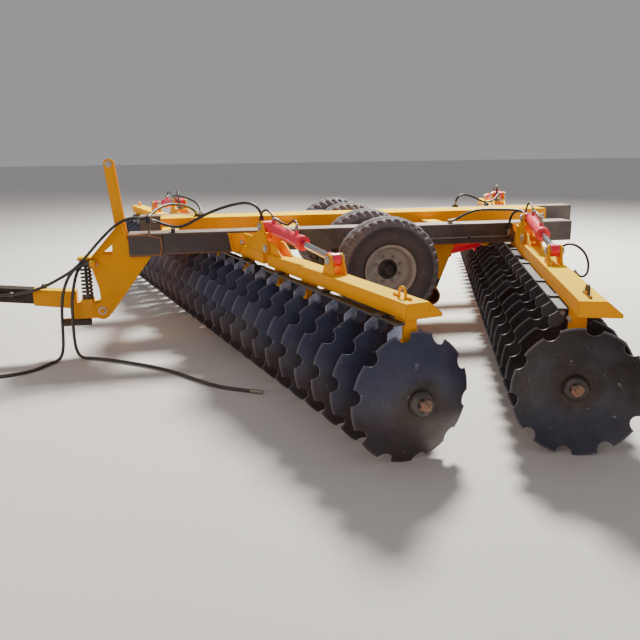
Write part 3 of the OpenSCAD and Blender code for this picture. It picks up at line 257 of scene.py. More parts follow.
light("key", place=(-3.5, -5.5, 8.5), aim=(0, 0, 0.5), size=2.4, power=3700, color=(1.0, 1.0, 0.93))
light("front", place=(6.5, 9.0, 5.0), aim=(0, 0, 0.6), size=5.0, power=150, color=(1.0, 0.8, 0.66))
world = bpy.data.worlds.new("studio")
world.use_nodes = True
sky = world.node_tree.nodes["Background"].inputs
sky["Color"].default_value = SKY_COLOUR
sky["Strength"].default_value = SKY_STRENGTH
bpy.context.scene.world = world

floor_material = bpy.data.materials.new("floor")
floor_material.use_nodes = True
tree = floor_material.node_tree
paper = tree.nodes["Principled BSDF"].inputs
tree.links.new(mix(tree, noise(tree, surface(tree), 0.7, 3.0), *PAPER), paper["Base Color"])
paper["Roughness"].default_value = PAPER_ROUGHNESS
bm = bmesh.new()
bmesh.ops.create_grid(bm, x_segments=1, y_segments=1, size=FLOOR_SIZE)
floor_mesh = bpy.data.meshes.new("floor")
bm.to_mesh(floor_mesh)
bm.free()
floor_mesh.materials.append(floor_material)
floor = bpy.data.objects.new("floor", floor_mesh)
floor.location.z = FLOOR_Z
bpy.context.collection.objects.link(floor)


# Side rails: two rolled box sections, 200 by 170 mm, in dark brown-grey paint that is dusty on top and rusty
# underneath. Each has a doubler plate on its outer face, and the bead that welds it on is rust.
# Shapes, here and below, are in millimetres in the machine's frame, whose zero is between the rails.
MM = 0.001
MACHINE_ZERO = Vector((-0.634594429, 0.020768826, 0))  # in the scene, in metres
RAIL_DIRT_FROM, RAIL_DIRT_TO = 0.962, 0.974
RAIL_RUST_FROM, RAIL_RUST_TO = 0.820, 0.806
BEAD_R, BEAD_STEP = 7.5, 8
DOUBLER_Y = 847.5
DOUBLER_EDGE = ((2128, 961), (1990, 961), (1878, 932), (1872, 850), (1892, 792))  # x and z


def offset(x, y, z):
    """A step in millimetres, as the scene has it, in metres."""
    return Vector((x, y, z)) * MM


def at(x, y, z):
    """A point of the machine's frame, in millimetres, as the scene has it."""
    return offset(x, y, z) + MACHINE_ZERO


def dress(material, *names):
    """Puts a material on solids of the frame."""
    for name in names:
        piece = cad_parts[name]
        if not piece.material_slots:
            piece.data.materials.append(material)
        for place in piece.material_slots:
            place.material = material


def piece_from(name, bm, body, material, slot, smooth=35):
    """Makes a piece of the scene from a bmesh, shaded smooth below an angle, riding on a body."""
    bmesh.ops.remove_doubles(bm, verts=bm.verts, dist=1e-6)
    bmesh.ops.recalc_face_normals(bm, faces=bm.faces)
    data = bpy.data.meshes.new(name)
    bm.to_mesh(data)
    bm.free()
    data.shade_smooth()
    data.set_sharp_from_angle(angle=radians(smooth))
    data.materials.append(material)
    piece = bpy.data.objects.new(name, data)
    bpy.context.collection.objects.link(piece)
    if body:
        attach(piece, body)
    return piece


def rail_colour(tree):
    spot = surface(tree)
    wobble = calc(tree, "MULTIPLY", noise(tree, spot, 14.0), 0.012)
    ragged = calc(tree, "ADD", parts_of(tree, spot)[2], wobble)
    dirt = between(tree, ragged, RAIL_DIRT_FROM, RAIL_DIRT_TO, 0.0, 0.75)
    worn_top = mix(tree, dirt, ink(72, 60, 59), ink(132, 112, 98))
    return mix(tree, between(tree, ragged, RAIL_RUST_FROM, RAIL_RUST_TO), worn_top, ink(128, 84, 48))


RAIL = finish(
    "rail_paint", rail_colour, roughness=0.48, Fading=0.12, Dust=0.35, Splash=0.0, Rubbing=0.9,
    Under=ink(140, 92, 58),
)
WELD = finish(
    "weld_rust", ink(172, 116, 66), roughness=0.7, Fading=0.15, Dust=0.3, Splash=0.0, Rubbing=0.4,
    Under=ink(120, 74, 44),
)
dress(RAIL, "rails")
bm = bmesh.new()
for side in (1, -1):
    edge = [at(x, side * DOUBLER_Y, z) for x, z in DOUBLER_EDGE]
    for a, b in zip(edge, edge[1:]):
        share = BEAD_STEP * MM / (b - a).length
        for k in range(int(1 / share)):
            drop = Matrix.Translation(a.lerp(b, k * share))
            bmesh.ops.create_icosphere(bm, subdivisions=1, radius=BEAD_R * MM, matrix=drop)
piece_from("doubler_welds", bm, "root", WELD, "black_paint")


# Yellow steelwork: the spine and its cross members, gang beams and stands, fold towers, drawbar plates, mast,
# wheel arms and the jack's tube keep their solids. They are welded plate and box section, painted, with
# painted shade in amber on their sides and a painted highlight in lighter yellow on their tops.
# Both colours are painted light: amber for the shaded sides, a lighter yellow for the lit tops
SHADED_SIDE_AMBER = ink(250, 166, 0)
LIT_TOP_YELLOW = ink(255, 208, 6)
WINGS = [(row, side) for row in ("front", "rear") for side in ("left", "right")]


def yellow_with_painted_light(tree):
    """Amber on the sides as painted shade, and a lighter yellow on faces that turn up, as a painted highlight
    where the light falls.
    """
    up = parts_of(tree, surface(tree, "Normal"))[2]
    return mix(tree, between(tree, up, 0.3, 0.95), SHADED_SIDE_AMBER, LIT_TOP_YELLOW)


YELLOW = finish(
    "yellow_paint", yellow_with_painted_light, roughness=0.5, specular=0.02, Fading=0.03, Dust=0.04, Splash=0.4,
    Rubbing=0.7, Under=ink(96, 62, 42), Soil=ink(140, 96, 60),
)
dress(
    YELLOW, "spine", "cross_members", "middle_beams", "middle_stands", "fold_towers", "drawbar_plates",
    "mast", "wheel_arms", "jack_tube",
)
for row, side in WINGS:
    dress(YELLOW, f"{row}_{side}_beam", f"{row}_{side}_stands")


# The wheel lift's pipe and hangers: a steel pipe across the machine that turns in hangers bolted under it.
# They are yellow too, with rust on the pipe's open ends and a black foot on each hanger.
PIPE_RUST_FROM, PIPE_RUST_TO = 0.80, 0.83
FOOT_TOP, PAINT_BOTTOM = 0.486, 0.484


def pipe_colour(tree):
    from_middle = calc(tree, "ABSOLUTE", parts_of(tree, surface(tree))[1])
    rusty = between(tree, from_middle, PIPE_RUST_FROM, PIPE_RUST_TO)
    return mix(tree, rusty, yellow_with_painted_light(tree), ink(132, 72, 34))


def hanger_colour(tree):
    foot = between(tree, parts_of(tree, surface(tree))[2], FOOT_TOP, PAINT_BOTTOM)
    return mix(tree, foot, yellow_with_painted_light(tree), ink(40, 36, 36))


PIPE = finish(
    "pipe_paint", pipe_colour, roughness=0.6, specular=0.2, Fading=0.1, Dust=0.2, Splash=0.3, Rubbing=0.7,
)
HANGER = finish(
    "hanger_paint", hanger_colour, roughness=0.55, specular=0.2, Fading=0.05, Dust=0.1, Splash=0.2,
    Rubbing=0.7,
)
dress(PIPE, "rockshaft")
dress(HANGER, "rockshaft_hangers")


# Discs: dished steel with a notched rim, 711 mm across, brown with a painted blue sheen by height, paler
# where soil has scoured them, stained round the hub, and bright along the rim, partly from sharpened steel
# and partly as a painted highlight. The rear row's colours are darker, as painted shade. The marks follow
# each row's axle.
ROWS = ("front", "rear")
ROW_X = {"front": 1430, "rear": -1450}
ROW_TURN = {"front": 15.0, "rear": -18.5}
HOLLOW = {"front": -1, "rear": 1}  # the way the discs' hollow faces along the row
AXLE_Z = 355.5
DISC_PITCH = 238
# The rear row's darker tints are painted shade; the blue is a painted sheen
BROWN_STEEL_REAR_SHADED = {"front": ink(60, 47, 50), "rear": ink(40, 33, 32)}
BLUE_SHEEN_REAR_SHADED = {"front": ink(52, 58, 86), "rear": ink(32, 40, 60)}
BLUE_SHEEN_FROM_TO = {"front": (0.40, 0.62), "rear": (0.5, 0.32)}
HUB_STAIN_FROM, HUB_STAIN_TO = 0.24, 0.13
RIM_FROM, RIM_TO = 0.338, 0.352


def around_axle(tree, row, spot):
    """Distance from a row's axle line, and place along it, in metres."""
    centre = at(ROW_X[row], 0, AXLE_Z)
    inputs = {"Vector": spot, "Center": centre, "Angle": radians(-ROW_TURN[row])}
    spun = add(tree, "VectorRotate", inputs, rotation_type="Z_AXIS").outputs[0]
    moved = add(tree, "VectorMath", {0: spun, 1: centre}, operation="SUBTRACT").outputs[0]
    x, along, z = parts_of(tree, moved)
    across = add(tree, "CombineXYZ", {0: x, 2: z}).outputs[0]
    return add(tree, "VectorMath", {0: across}, operation="LENGTH").outputs["Value"], along


def disc_colour(row):
    def make(tree):
        spot = surface(tree)
        radius, along = around_axle(tree, row, spot)

        # Brown with a painted blue sheen by height, with paler patches and turned rings
        wobble = calc(tree, "MULTIPLY", noise(tree, spot, 4.0), 0.3)
        patchy = calc(tree, "ADD", parts_of(tree, spot)[2], wobble)
        scoured_with_blue_sheen = mix(tree, between(tree, patchy, *BLUE_SHEEN_FROM_TO[row]), BROWN_STEEL_REAR_SHADED[row], BLUE_SHEEN_REAR_SHADED[row])
        patches = between(tree, noise(tree, spot, 5.0, 5.0, 0.65), 0.4, 0.7, 0.0, 0.3)
        scoured_with_blue_sheen = mix(tree, patches, scoured_with_blue_sheen, ink(88, 88, 110))
        rings = {0: calc(tree, "MULTIPLY", radius, 60.0), 1: calc(tree, "MULTIPLY", along, 9.0)}
        rings = noise(tree, add(tree, "CombineXYZ", rings).outputs[0], 3.0, 3.0)
        scoured_with_blue_sheen = mix(tree, between(tree, rings, 0.5, 0.8, 0.0, 0.35), scoured_with_blue_sheen, ink(86, 90, 112))

        ragged = calc(tree, "ADD", radius, calc(tree, "MULTIPLY", noise(tree, spot, 7.0, 5.0), 0.12))
        patches = between(tree, noise(tree, spot, 14.0, 5.0), 0.4, 0.66)
        stain = mix(tree, patches, ink(38, 30, 28), ink(70, 54, 46))
        stained = mix(tree, between(tree, ragged, HUB_STAIN_FROM, HUB_STAIN_TO), scoured_with_blue_sheen, stain)
        # Bright along the rim: sharpened steel, and partly a painted highlight
        return mix(tree, between(tree, radius, RIM_FROM, RIM_TO, 0.0, 0.5), stained, ink(110, 104, 116))
    return make


for row in ROWS:
    steel = finish(
        row + "_disc_steel", disc_colour(row), roughness=0.4, metallic=0.5, bump=0.5, Fading=0.04, Dust=0.0,
        Splash=0.3, Rubbing=0.6, Under=ink(176, 162, 168), Soil=ink(78, 62, 54),
    )
    dress(steel, *(f"{row}_{gang}_discs" for gang in ("middle", "left", "right")))


# Gang axles: rough cast spools between the discs, brown with soil, on a through bolt. An end casting and a
# rusty nut clamp each end of a gang.
GANGS = {"middle": (-5.5, 5.5), "left": (6.5, 14.5), "right": (-14.5, -6.5)}  # end discs, in pitches
DISC_BACK, DISC_FACE = 2, 9
CASTING = [(70, 0), (71, 6), (69, 20), (64, 30), (57, 36), (50, 38), (36, 38)]
GANG_NUT_FLATS, GANG_NUT_HEIGHT, GANG_NUT_FOOT, GANG_NUT_SPIN = 69.5, 35, 24.5, 0.4
GANG_BOLT_END = [(20.5, 56), (20.5, 70), (19, 72.6)]
NUT_CHAMFER_FROM, NUT_CHAMFER_TO = 0.82, 0.86
WASHER_WIDTH, WASHER_THICK = 1.22, 0.09


def shifted(x, y, z):
    """A move by a step in millimetres, as a matrix."""
    return Matrix.Translation(offset(x, y, z))


def turned(bm, matrix, outline, steps=24, closed=False):
    """Turns an outline of (radius, height) points, in millimetres, about the matrix's Z axis."""
    rings = []
    for k in range(steps):
        a = 2 * pi * k / steps
        places = [offset(r * cos(a), r * sin(a), z) for r, z in outline]
        rings.append([bm.verts.new(matrix @ place) for place in places])
    n = len(outline)
    for k in range(steps):
        one, two = rings[k], rings[(k + 1) % steps]
        for i in range(n if closed else n - 1):
            j = (i + 1) % n
            bm.faces.new((one[i], two[i], two[j], one[j]))
    if not closed:
        for i in (0, n - 1):
            bm.faces.new([ring[i] for ring in rings])


def nut(bm, matrix, flats, height, washer=True):
    """A hexagon head or nut with a chamfered top, in millimetres, on its washer."""
    corner = flats / 3 ** 0.5
    top = [(corner, height * NUT_CHAMFER_FROM), (corner * NUT_CHAMFER_TO, height)]
    turned(bm, matrix, [(corner, 0), *top], steps=6)
    if washer:
        r = corner * WASHER_WIDTH
        turned(bm, matrix, [(r, -1), (r, flats * WASHER_THICK)], steps=20)


def row_frame(row):
    """A row's own frame: x across the row, y along it to the left."""
    return Matrix.Translation(at(ROW_X[row], 0, 0)) @ Matrix.Rotation(radians(ROW_TURN[row]), 4, "Z")


def rust_colour(tree):
    patches = between(tree, noise(tree, surface(tree), 42.0, 5.0), 0.38, 0.62)
    return mix(tree, patches, ink(84, 46, 28), ink(176, 104, 62))


IRON = finish(
    "spool_iron", ink(52, 46, 46), roughness=0.45, metallic=0.5, bump=0.6, Fading=0.1, Dust=0.1, Splash=0.35,
    Rubbing=0.4, Soil=ink(84, 66, 54),
)
RUST = finish(
    "rusty_nut", rust_colour, roughness=0.6, metallic=0.35, bump=0.9, Fading=0.1, Dust=0.1, Splash=0.1,
    Rubbing=0.8, Under=ink(220, 200, 190),
)
dress(IRON, *(f"{row}_{gang}_axle" for row in ROWS for gang in GANGS))
for row in ROWS:
    hollow = HOLLOW[row]
    for gang, (first, last) in GANGS.items():
        bm, castings = bmesh.new(), bmesh.new()
        for place, outward in ((first, -1), (last, 1)):
            seat = place * DISC_PITCH + hollow * (DISC_FACE if outward == hollow else DISC_BACK)
            foot = row_frame(row) @ shifted(0, seat, AXLE_Z) @ Matrix.Rotation(-outward * pi / 2, 4, "X")
            turned(castings, foot, CASTING, 48)
            on_casting = foot @ shifted(0, 0, GANG_NUT_FOOT) @ Matrix.Rotation(GANG_NUT_SPIN, 4, "Z")
            nut(bm, on_casting, GANG_NUT_FLATS, GANG_NUT_HEIGHT, washer=False)
            turned(bm, foot, GANG_BOLT_END, 24)
        piece_from(f"{row}_{gang}_nuts", bm, f"{row}_{gang}_gang", RUST, "spool_iron")
        piece_from(f"{row}_{gang}_end_dishes", castings, f"{row}_{gang}_gang", IRON, "spool_iron")


# Scrapers: blades of rubbed steel, paler and bluer than the discs in the front row and painted dark as shade
# in the rear row, each held by a bolt under a dark bar. A blade is 8 mm thick and stands 97 mm from its
# disc's seat, beside the hollow.
BAR_BOTTOM, BAR_TOP = 0.7500, 0.7508
REAR_SHADE_TO, UNSHADED_FROM = -0.7, -0.6
BOLT_X, BOLT_Z = 68, 736
BLADE_FACE = 105
BLADE_BOLT = 19, 10  # flats and height, as for every bolt below
BLADE_BOLT_END = [(5, 8), (5, 18)]


def facing(place, way, spin=0.0):
    """A matrix that takes +Z to a direction, at a point."""
    aimed = Vector(way).to_track_quat("Z", "Y").to_matrix().to_4x4()
    return Matrix.Translation(place) @ aimed @ Matrix.Rotation(spin, 4, "Z")


def scraper_colour(tree):
    spot = surface(tree)
    x, _, height = parts_of(tree, spot)
    patches = between(tree, noise(tree, spot, 18.0), 0.35, 0.65)
    rubbed_with_painted_light = mix(tree, patches, ink(118, 126, 156), ink(176, 184, 210))
    # The rear row's blades are darker: painted shade
    rubbed_with_painted_light = mix(tree, between(tree, x, REAR_SHADE_TO, UNSHADED_FROM), ink(62, 60, 66), rubbed_with_painted_light)
    return mix(tree, between(tree, height, BAR_BOTTOM, BAR_TOP), rubbed_with_painted_light, ink(26, 22, 22))


BLADE = finish(
    "blade_steel", scraper_colour, roughness=0.5, metallic=0.25, Fading=0.05, Dust=0.03, Splash=0.2,
    Rubbing=0.5, Under=ink(176, 166, 172), Soil=ink(84, 68, 58),
)
ZINC = finish(
    "zinc", ink(150, 146, 138), roughness=0.35, metallic=0.8, Fading=0.3, Dust=0.3, Splash=0.4, Rubbing=0.5,
    Under=ink(96, 60, 40),
)
dress(BLADE, "middle_scrapers", *(f"{row}_{side}_scrapers" for row, side in WINGS))
for row in ROWS:
    hollow = HOLLOW[row]
    for gang, (first, last) in GANGS.items():
        blades = [first + k for k in range(int(last - first) + 1)]
        # The outermost disc has no blade where its hollow faces outward
        if gang == "left" and hollow == 1:
            blades.pop()
        if gang == "right" and hollow == -1:
            blades.pop(0)
        bm = bmesh.new()
        for place in blades:
            spot = offset(BOLT_X, place * DISC_PITCH + hollow * BLADE_FACE, BOLT_Z)
            nut(bm, row_frame(row) @ facing(spot, (0, hollow, 0), spin=0.3), *BLADE_BOLT)
            turned(bm, row_frame(row) @ facing(spot, (0, hollow, 0)), BLADE_BOLT_END, 10)
        body = "root" if gang == "middle" else f"{row}_{gang}_wing"
        piece_from(f"{row}_{gang}_scraper_bolts", bm, body, ZINC, "jack_steel")


# Hydraulic cylinders: crimson barrels with a thicker gland, chrome rods with a red eye and collar. A thin
# hose is bent over each barrel between its two ports, and another leads to it from its tower.
FOLD_PIN_OUT, FOLD_PIN_Z = 1428, 900
PIN_LINE = -25  # the cylinders' plane, across the row
BASE_PIN, LUG_PIN = (-110, 150), (1000, 50)  # outboard and up from the fold pin
FOLD_RUN = Vector(LUG_PIN) - Vector(BASE_PIN)
FOLD_SLOPE = atan2(FOLD_RUN.y, FOLD_RUN.x)
THIN_HOSE_D = 16
THIN_CRIMP = 0.75
PORTS = (100, 520)
PORT_SEAT = 65.5
PORT_HEXAGON = [(14, 0), (14, 10), (12, 12), (12, 16)]
BASE_RING = [(46, 58), (46, 64), (43, 66)]
EYE_OUTLINE = [(24, -28.4), (38, -28.4), (40.6, -26), (40.6, 26), (38, 28.4), (24, 28.4)]
COLLAR = [(22.4, -82), (29, -80.6), (31.6, -78), (31.6, -52), (30, -30)]  # heights from the eye's middle
CRIMP_NUT = [(9, -4), (15, -4), (15, 12), (9, 13)]
CRIMP_SLEEVE = [
    (10, 12), (13.5, 14), (13.5, 20), (12.5, 22), (13.5, 24), (13.5, 30), (12.5, 32), (13.5, 34),
    (13.5, 44), (11.3, 46),
]
PORT_HOSE = [  # in the cylinder's frame: x along it from its base pin, z up
    (520, 0, 80), (518, 2, 98), (500, 6, 116), (468, 12, 124), (430, 17, 118), (390, 21, 102),
    (350, 24, 82), (310, 25, 66), (270, 25, 59), (220, 25, 58), (170, 24, 60), (130, 20, 66),
    (112, 12, 72),
]
LEAD_HOSE = [  # in the wing's frame at its fold pin
    (5, -220, 92), (5, -220, 130), (4, -216, 176), (0, -200, 222), (-6, -172, 254), (-12, -136, 268),
    (-18, -96, 266), (-22, -56, 252), (-24, -26, 236), (-25, -8, 219),
]
X_TO_Z = Matrix.Rotation(pi / 2, 4, "Y")


def smooth_line(points, steps=4):
    """Points on one smooth curve through the given ones."""
    line = []
    for i in range(len(points) - 1):
        a, b, c, d = (points[min(max(k, 0), len(points) - 1)] for k in range(i - 1, i + 3))
        for t in (k / steps for k in range(steps)):
            bend = 2 * a - 5 * b + 4 * c - d + t * (3 * (b - c) + d - a)
            line.append(b + 0.5 * t * (c - a + t * bend))
    return line + [points[-1]]


def points_in(matrix, points, steps=4):
    return smooth_line([matrix @ offset(*p) for p in points], steps)


def swept(bm, line, radius, sides=12):
    """A tube along a line of points, of a radius in millimetres."""
    up = Vector((0.3, 0.31, 0.9))
    rings = []
    for i, place in enumerate(line):
        way = (line[min(i + 1, len(line) - 1)] - line[max(i - 1, 0)]).normalized()
        up = (up - way * up.dot(way)).normalized()
        over = way.cross(up)
        angles = [2 * pi * k / sides for k in range(sides)]
        rings.append([bm.verts.new(place + radius * MM * (cos(a) * up + sin(a) * over)) for a in angles])
    for one, two in zip(rings, rings[1:]):
        for k in range(sides):
            bm.faces.new((one[k], one[(k + 1) % sides], two[(k + 1) % sides], two[k]))
    bm.faces.new(rings[0])
    bm.faces.new(rings[-1])


def crimp(bm, end, way, size=1.0):
    """A hose's crimped end with its nut, from the end backwards along the hose."""
    place = facing(end, -way)
    for outline, steps in ((CRIMP_NUT, 6), (CRIMP_SLEEVE, 18)):
        turned(bm, place, [(r * size, z * size) for r, z in outline], steps)


def crimp_start(bm, line, size=1.0):
    crimp(bm, line[0], (line[0] - line[2]).normalized(), size)


def crimp_end(bm, line, size=1.0):
    crimp(bm, line[-1], (line[-1] - line[-3]).normalized(), size)


def wing_frame(row, side):
    """A wing's frame at its fold pin: x across the row, y outboard, z up."""
    out = 1 if side == "left" else -1
    return row_frame(row) @ shifted(0, out * FOLD_PIN_OUT, FOLD_PIN_Z) @ Matrix.Scale(out, 4, (0, 1, 0))


RED = finish(
    "red_paint", ink(250, 20, 66), roughness=0.3, coat=0.15, Fading=0.03, Dust=0.03, Splash=0.1, Rubbing=0.5,
    Under=ink(90, 84, 84),
)
CHROME = finish(
    "chrome", ink(206, 206, 212), roughness=0.12, metallic=1.0, bump=0.05, Fading=0.05, Dust=0.15,
    Splash=0.05, Rubbing=0.0,
)
RUBBER = finish(
    "hose_rubber", ink(30, 30, 33), roughness=0.42, Fading=0.05, Dust=0.12, Splash=0.15, Rubbing=0.2,
    Under=ink(70, 66, 64),
)
dress(RED, "lift_barrel", *(f"{row}_{side}_fold_barrel" for row, side in WINGS))
dress(CHROME, "lift_rod", *(f"{row}_{side}_fold_rod" for row, side in WINGS))
for row, side in WINGS:
    name = f"{row}_{side}"
    wing = wing_frame(row, side)
    barrel = wing @ shifted(PIN_LINE, *BASE_PIN) @ Matrix.Rotation(pi / 2, 4, "Z")
    barrel = barrel @ Matrix.Rotation(-FOLD_SLOPE, 4, "Y")
    metal, rubber = bmesh.new(), bmesh.new()
    for x in PORTS:
        turned(metal, barrel @ shifted(x, 0, PORT_SEAT), PORT_HEXAGON, 6)
    turned(metal, barrel @ X_TO_Z, BASE_RING, 40)
    loop = points_in(barrel, PORT_HOSE)
    swept(rubber, loop, THIN_HOSE_D / 2)
    crimp_start(metal, loop, THIN_CRIMP)
    crimp_end(metal, loop, THIN_CRIMP)
    piece_from(name + "_port_fittings", metal, name + "_barrel", ZINC, "jack_steel")
    piece_from(name + "_port_hose", rubber, name + "_barrel", RUBBER, "hose_rubber")

    eye = bmesh.new()
    far = barrel @ shifted(FOLD_RUN.length, 0, 0)
    turned(eye, far @ Matrix.Rotation(pi / 2, 4, "X"), EYE_OUTLINE, 40, closed=True)
    turned(eye, far @ X_TO_Z, COLLAR, 32)
    piece_from(name + "_rod_eye", eye, name + "_rod", RED, "red_paint")

    rubber = bmesh.new()
    lead_line = points_in(wing, LEAD_HOSE)
    swept(rubber, lead_line, THIN_HOSE_D / 2)
    crimp_start(rubber, lead_line, THIN_CRIMP)
    lead = piece_from(name + "_lead_hose", rubber, None, RUBBER, "hose_rubber")
    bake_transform(lead)


# Pins and bolts: bare steel heads and washers on the towers, the rod lugs and the drawbar's plates, bolts on
# the brackets and the stands, and the bent rod that lifts each wing beam, yellow in front and dark behind.
DRAWBAR_Y = 735
TOWER_PINS = ((0, 0), BASE_PIN)
TOWER_FACE, TOWER_WASHER, TOWER_PIN = 69, 30, 20.6
LUG_FACE, LUG_WASHER, LUG_BOLT = 47.2, 26.6, 15
PLATE_PINS = (  # x, z, face from the plates' middle, washer, pin, thickness
    (2371, 363, 86, 33, 20.6, 8),
    (2406, 743, 86, 27, 16, 8),
    (2242, 1510, 42, 26, 12.6, 7),
)
MAST_BOLT_PLACE = (2242, 694, 1510)
MAST_BOLT = [(12.6, 0), (12.6, 82)]
STAND_GAPS = {"middle": (-4.5, -1.5, 0.5, 3.5), "left": (6.5, 8.5, 13.5), "right": (-7.5, -9.5, -14.5)}
STAND_OFFSET, STAND_FACE = 159, 40
STAND_BOLTS = ((-24, 716), (24, 716), (-24, 450), (24, 450))
STAND_BOLT = 22, 12
BRACKET_FACE = 849
RAIL_SIDE = 835
BRACKET_BOLTS = ((-90, 880), (30, 880))
BRACKET_BOLT = 27, 15
BEAM_END = {("front", "left"): -85, ("front", "right"): 135, ("rear", "left"): 135, ("rear", "right"): -85}
ROD_FROM_END = 150
ROD_R = 7.8
ARCH_R, ARCH_Z = 31, -15
ROD_FOOT = [(-85, -33), (-60, -33), (-36, -32), (-31.5, -18)]


def pin_head(bm, place, washer, pin, thick=11):
    """A pin's chamfered end, standing out of its washer."""
    turned(bm, place, [(washer, -0.5), (washer, thick - 1.5), (washer - 1.5, thick), (pin + 1, thick)], 32)
    turned(bm, place, [(pin, thick - 1), (pin, thick + 3), (pin - 2, thick + 5)], 28)


def lifting_rod(y):
    """A rod's arch over a beam, with a straight foot on each side of it."""
    arch = [(-ARCH_R * cos(a), ARCH_Z + ARCH_R * sin(a)) for a in (pi * k / 8 for k in range(9))]
    other_foot = [(-dy, z) for dy, z in reversed(ROD_FOOT)]
    return [(PIN_LINE, y + dy, z) for dy, z in ROD_FOOT + arch + other_foot]


DARK_ROD = finish(
    "dark_rod", ink(62, 40, 32), roughness=0.5, metallic=0.3, Fading=0.1, Dust=0.2, Splash=0.0, Rubbing=0.5,
    Under=ink(120, 96, 80),
)
PIN = finish(
    "pin_steel", ink(190, 186, 182), roughness=0.35, metallic=0.5, Fading=0.15, Dust=0.15, Splash=0.1,
    Rubbing=0.4, Under=ink(140, 110, 90),
)
heads = {"root": bmesh.new()}
for row, side in WINGS:
    body = f"{row}_{side}_wing"
    heads[body] = bmesh.new()
    wing = wing_frame(row, side)
    for face in (1, -1):
        for y, z in TOWER_PINS:
            spot = offset(PIN_LINE + face * TOWER_FACE, y, z)
            pin_head(heads["root"], wing @ facing(spot, (face, 0, 0)), TOWER_WASHER, TOWER_PIN)
        spot = offset(PIN_LINE + face * LUG_FACE, *LUG_PIN)
        pin_head(heads[body], wing @ facing(spot, (face, 0, 0)), LUG_WASHER, LUG_BOLT)
    rod = bmesh.new()
    beam_end = GANGS["left"][1] * DISC_PITCH + BEAM_END[(row, side)] - FOLD_PIN_OUT
    swept(rod, points_in(wing, lifting_rod(beam_end - ROD_FROM_END), 2), ROD_R, 14)
    rod_finish = (YELLOW, "yellow_paint") if row == "front" else (DARK_ROD, "spool_iron")
    piece_from(f"{row}_{side}_lifting_rod", rod, body, *rod_finish)
for row in ROWS:
    hollow = HOLLOW[row]
    for gang, gaps in STAND_GAPS.items():
        target = heads["root" if gang == "middle" else f"{row}_{gang}_wing"]
        for gap in gaps:
            stand = (gap if hollow > 0 else gap + 1) * DISC_PITCH + hollow * STAND_OFFSET
            for across, z in STAND_BOLTS:
                spot = offset(STAND_FACE, stand + across, z)
                nut(target, row_frame(row) @ facing(spot, (1, 0, 0), spin=0.2), *STAND_BOLT)
    for side in (1, -1):
        bracket_x = ROW_X[row] - side * RAIL_SIDE * tan(radians(ROW_TURN[row]))
        for dx, z in BRACKET_BOLTS:
            spot = at(bracket_x + dx, side * BRACKET_FACE, z)
            nut(heads["root"], facing(spot, (0, side, 0), spin=0.3), *BRACKET_BOLT)
for side in (1, -1):
    for x, z, face, washer, pin, thick in PLATE_PINS:
        place = facing(at(x, DRAWBAR_Y + side * face, z), (0, side, 0))
        pin_head(heads["root"], place, washer, pin, thick)
turned(heads["root"], facing(at(*MAST_BOLT_PLACE), (0, 1, 0)), MAST_BOLT, 24)
for target, bm in heads.items():
    piece_from(target + "_bolts", bm, target, PIN, "jack_steel")


# Tyres: moulded rubber ones, 850 by 290 mm, on their rims in two pairs. The tread has five ribs between wavy
# grooves, and its shoulders are notched.
TYRE_X, TYRE_Z = 90, 655
TYRE_MIDDLES = (360, 1080)
TREAD = [  # distance from the middle, radius, share of the wave, depth of the shoulder's notch
    (17, 425, 1, 0), (20, 406, 1, 0), (33, 406, 1, 0), (36, 424, 1, 0), (53, 421, 1, 0), (56, 402, 1, 0),
    (69, 400, 1, 0), (72, 417, 1, 0), (90, 412, 0.5, 0), (92, 411, 0.5, 15), (108, 402, 0.2, 16),
    (120, 391, 0, 16), (130, 377, 0, 14), (137, 362, 0, 10), (141, 350, 0, 0), (144, 330, 0, 0),
    (145, 308, 0, 0), (143, 284, 0, 0), (140, 268, 0, 0), (141, 262, 0, 0), (138, 254, 0, 0),
    (128, 234, 0, 0), (116, 218, 0, 0), (111, 211, 0, 0), (108, 198, 0, 0),
]
TYRE_STEPS = 288
WAVES = 36
WAVE_SIZE = 14
NOTCHES = 36


def tyre_colour(tree):
    """Dusty black, paler on the ribs and with soil towards the rim."""
    spot = surface(tree)
    x, _, z = parts_of(tree, spot)
    across = add(tree, "CombineXYZ", {0: x, 2: z}).outputs[0]
    radius = add(tree, "VectorMath", {0: across}, operation="LENGTH").outputs["Value"]
    patch = between(tree, noise(tree, spot, 9.0, 5.0), 0.5, 0.75, 0.0, 0.25)
    dusty = calc(tree, "ADD", between(tree, radius, 0.34, 0.27, 0.0, 0.3), patch)
    ribs = mix(tree, between(tree, radius, 0.345, 0.365), ink(62, 57, 63), ink(112, 102, 108))
    return mix(tree, dusty, ribs, ink(118, 98, 90))


def tyre_ring(bm, columns, k, y_middle):
    """One cut through a tyre, at a step of its turn."""
    angle = 2 * pi * k / TYRE_STEPS
    zigzag = abs(2 * (k * WAVES / TYRE_STEPS % 1) - 1) * 2 - 1
    cut = k * NOTCHES * 2 // TYRE_STEPS % 2
    ring = []
    for y, r, wave, notch in columns:
        r -= notch * cut
        y += y_middle + wave * WAVE_SIZE * zigzag
        ring.append(bm.verts.new(offset(r * cos(angle), y, r * sin(angle))))
    return ring


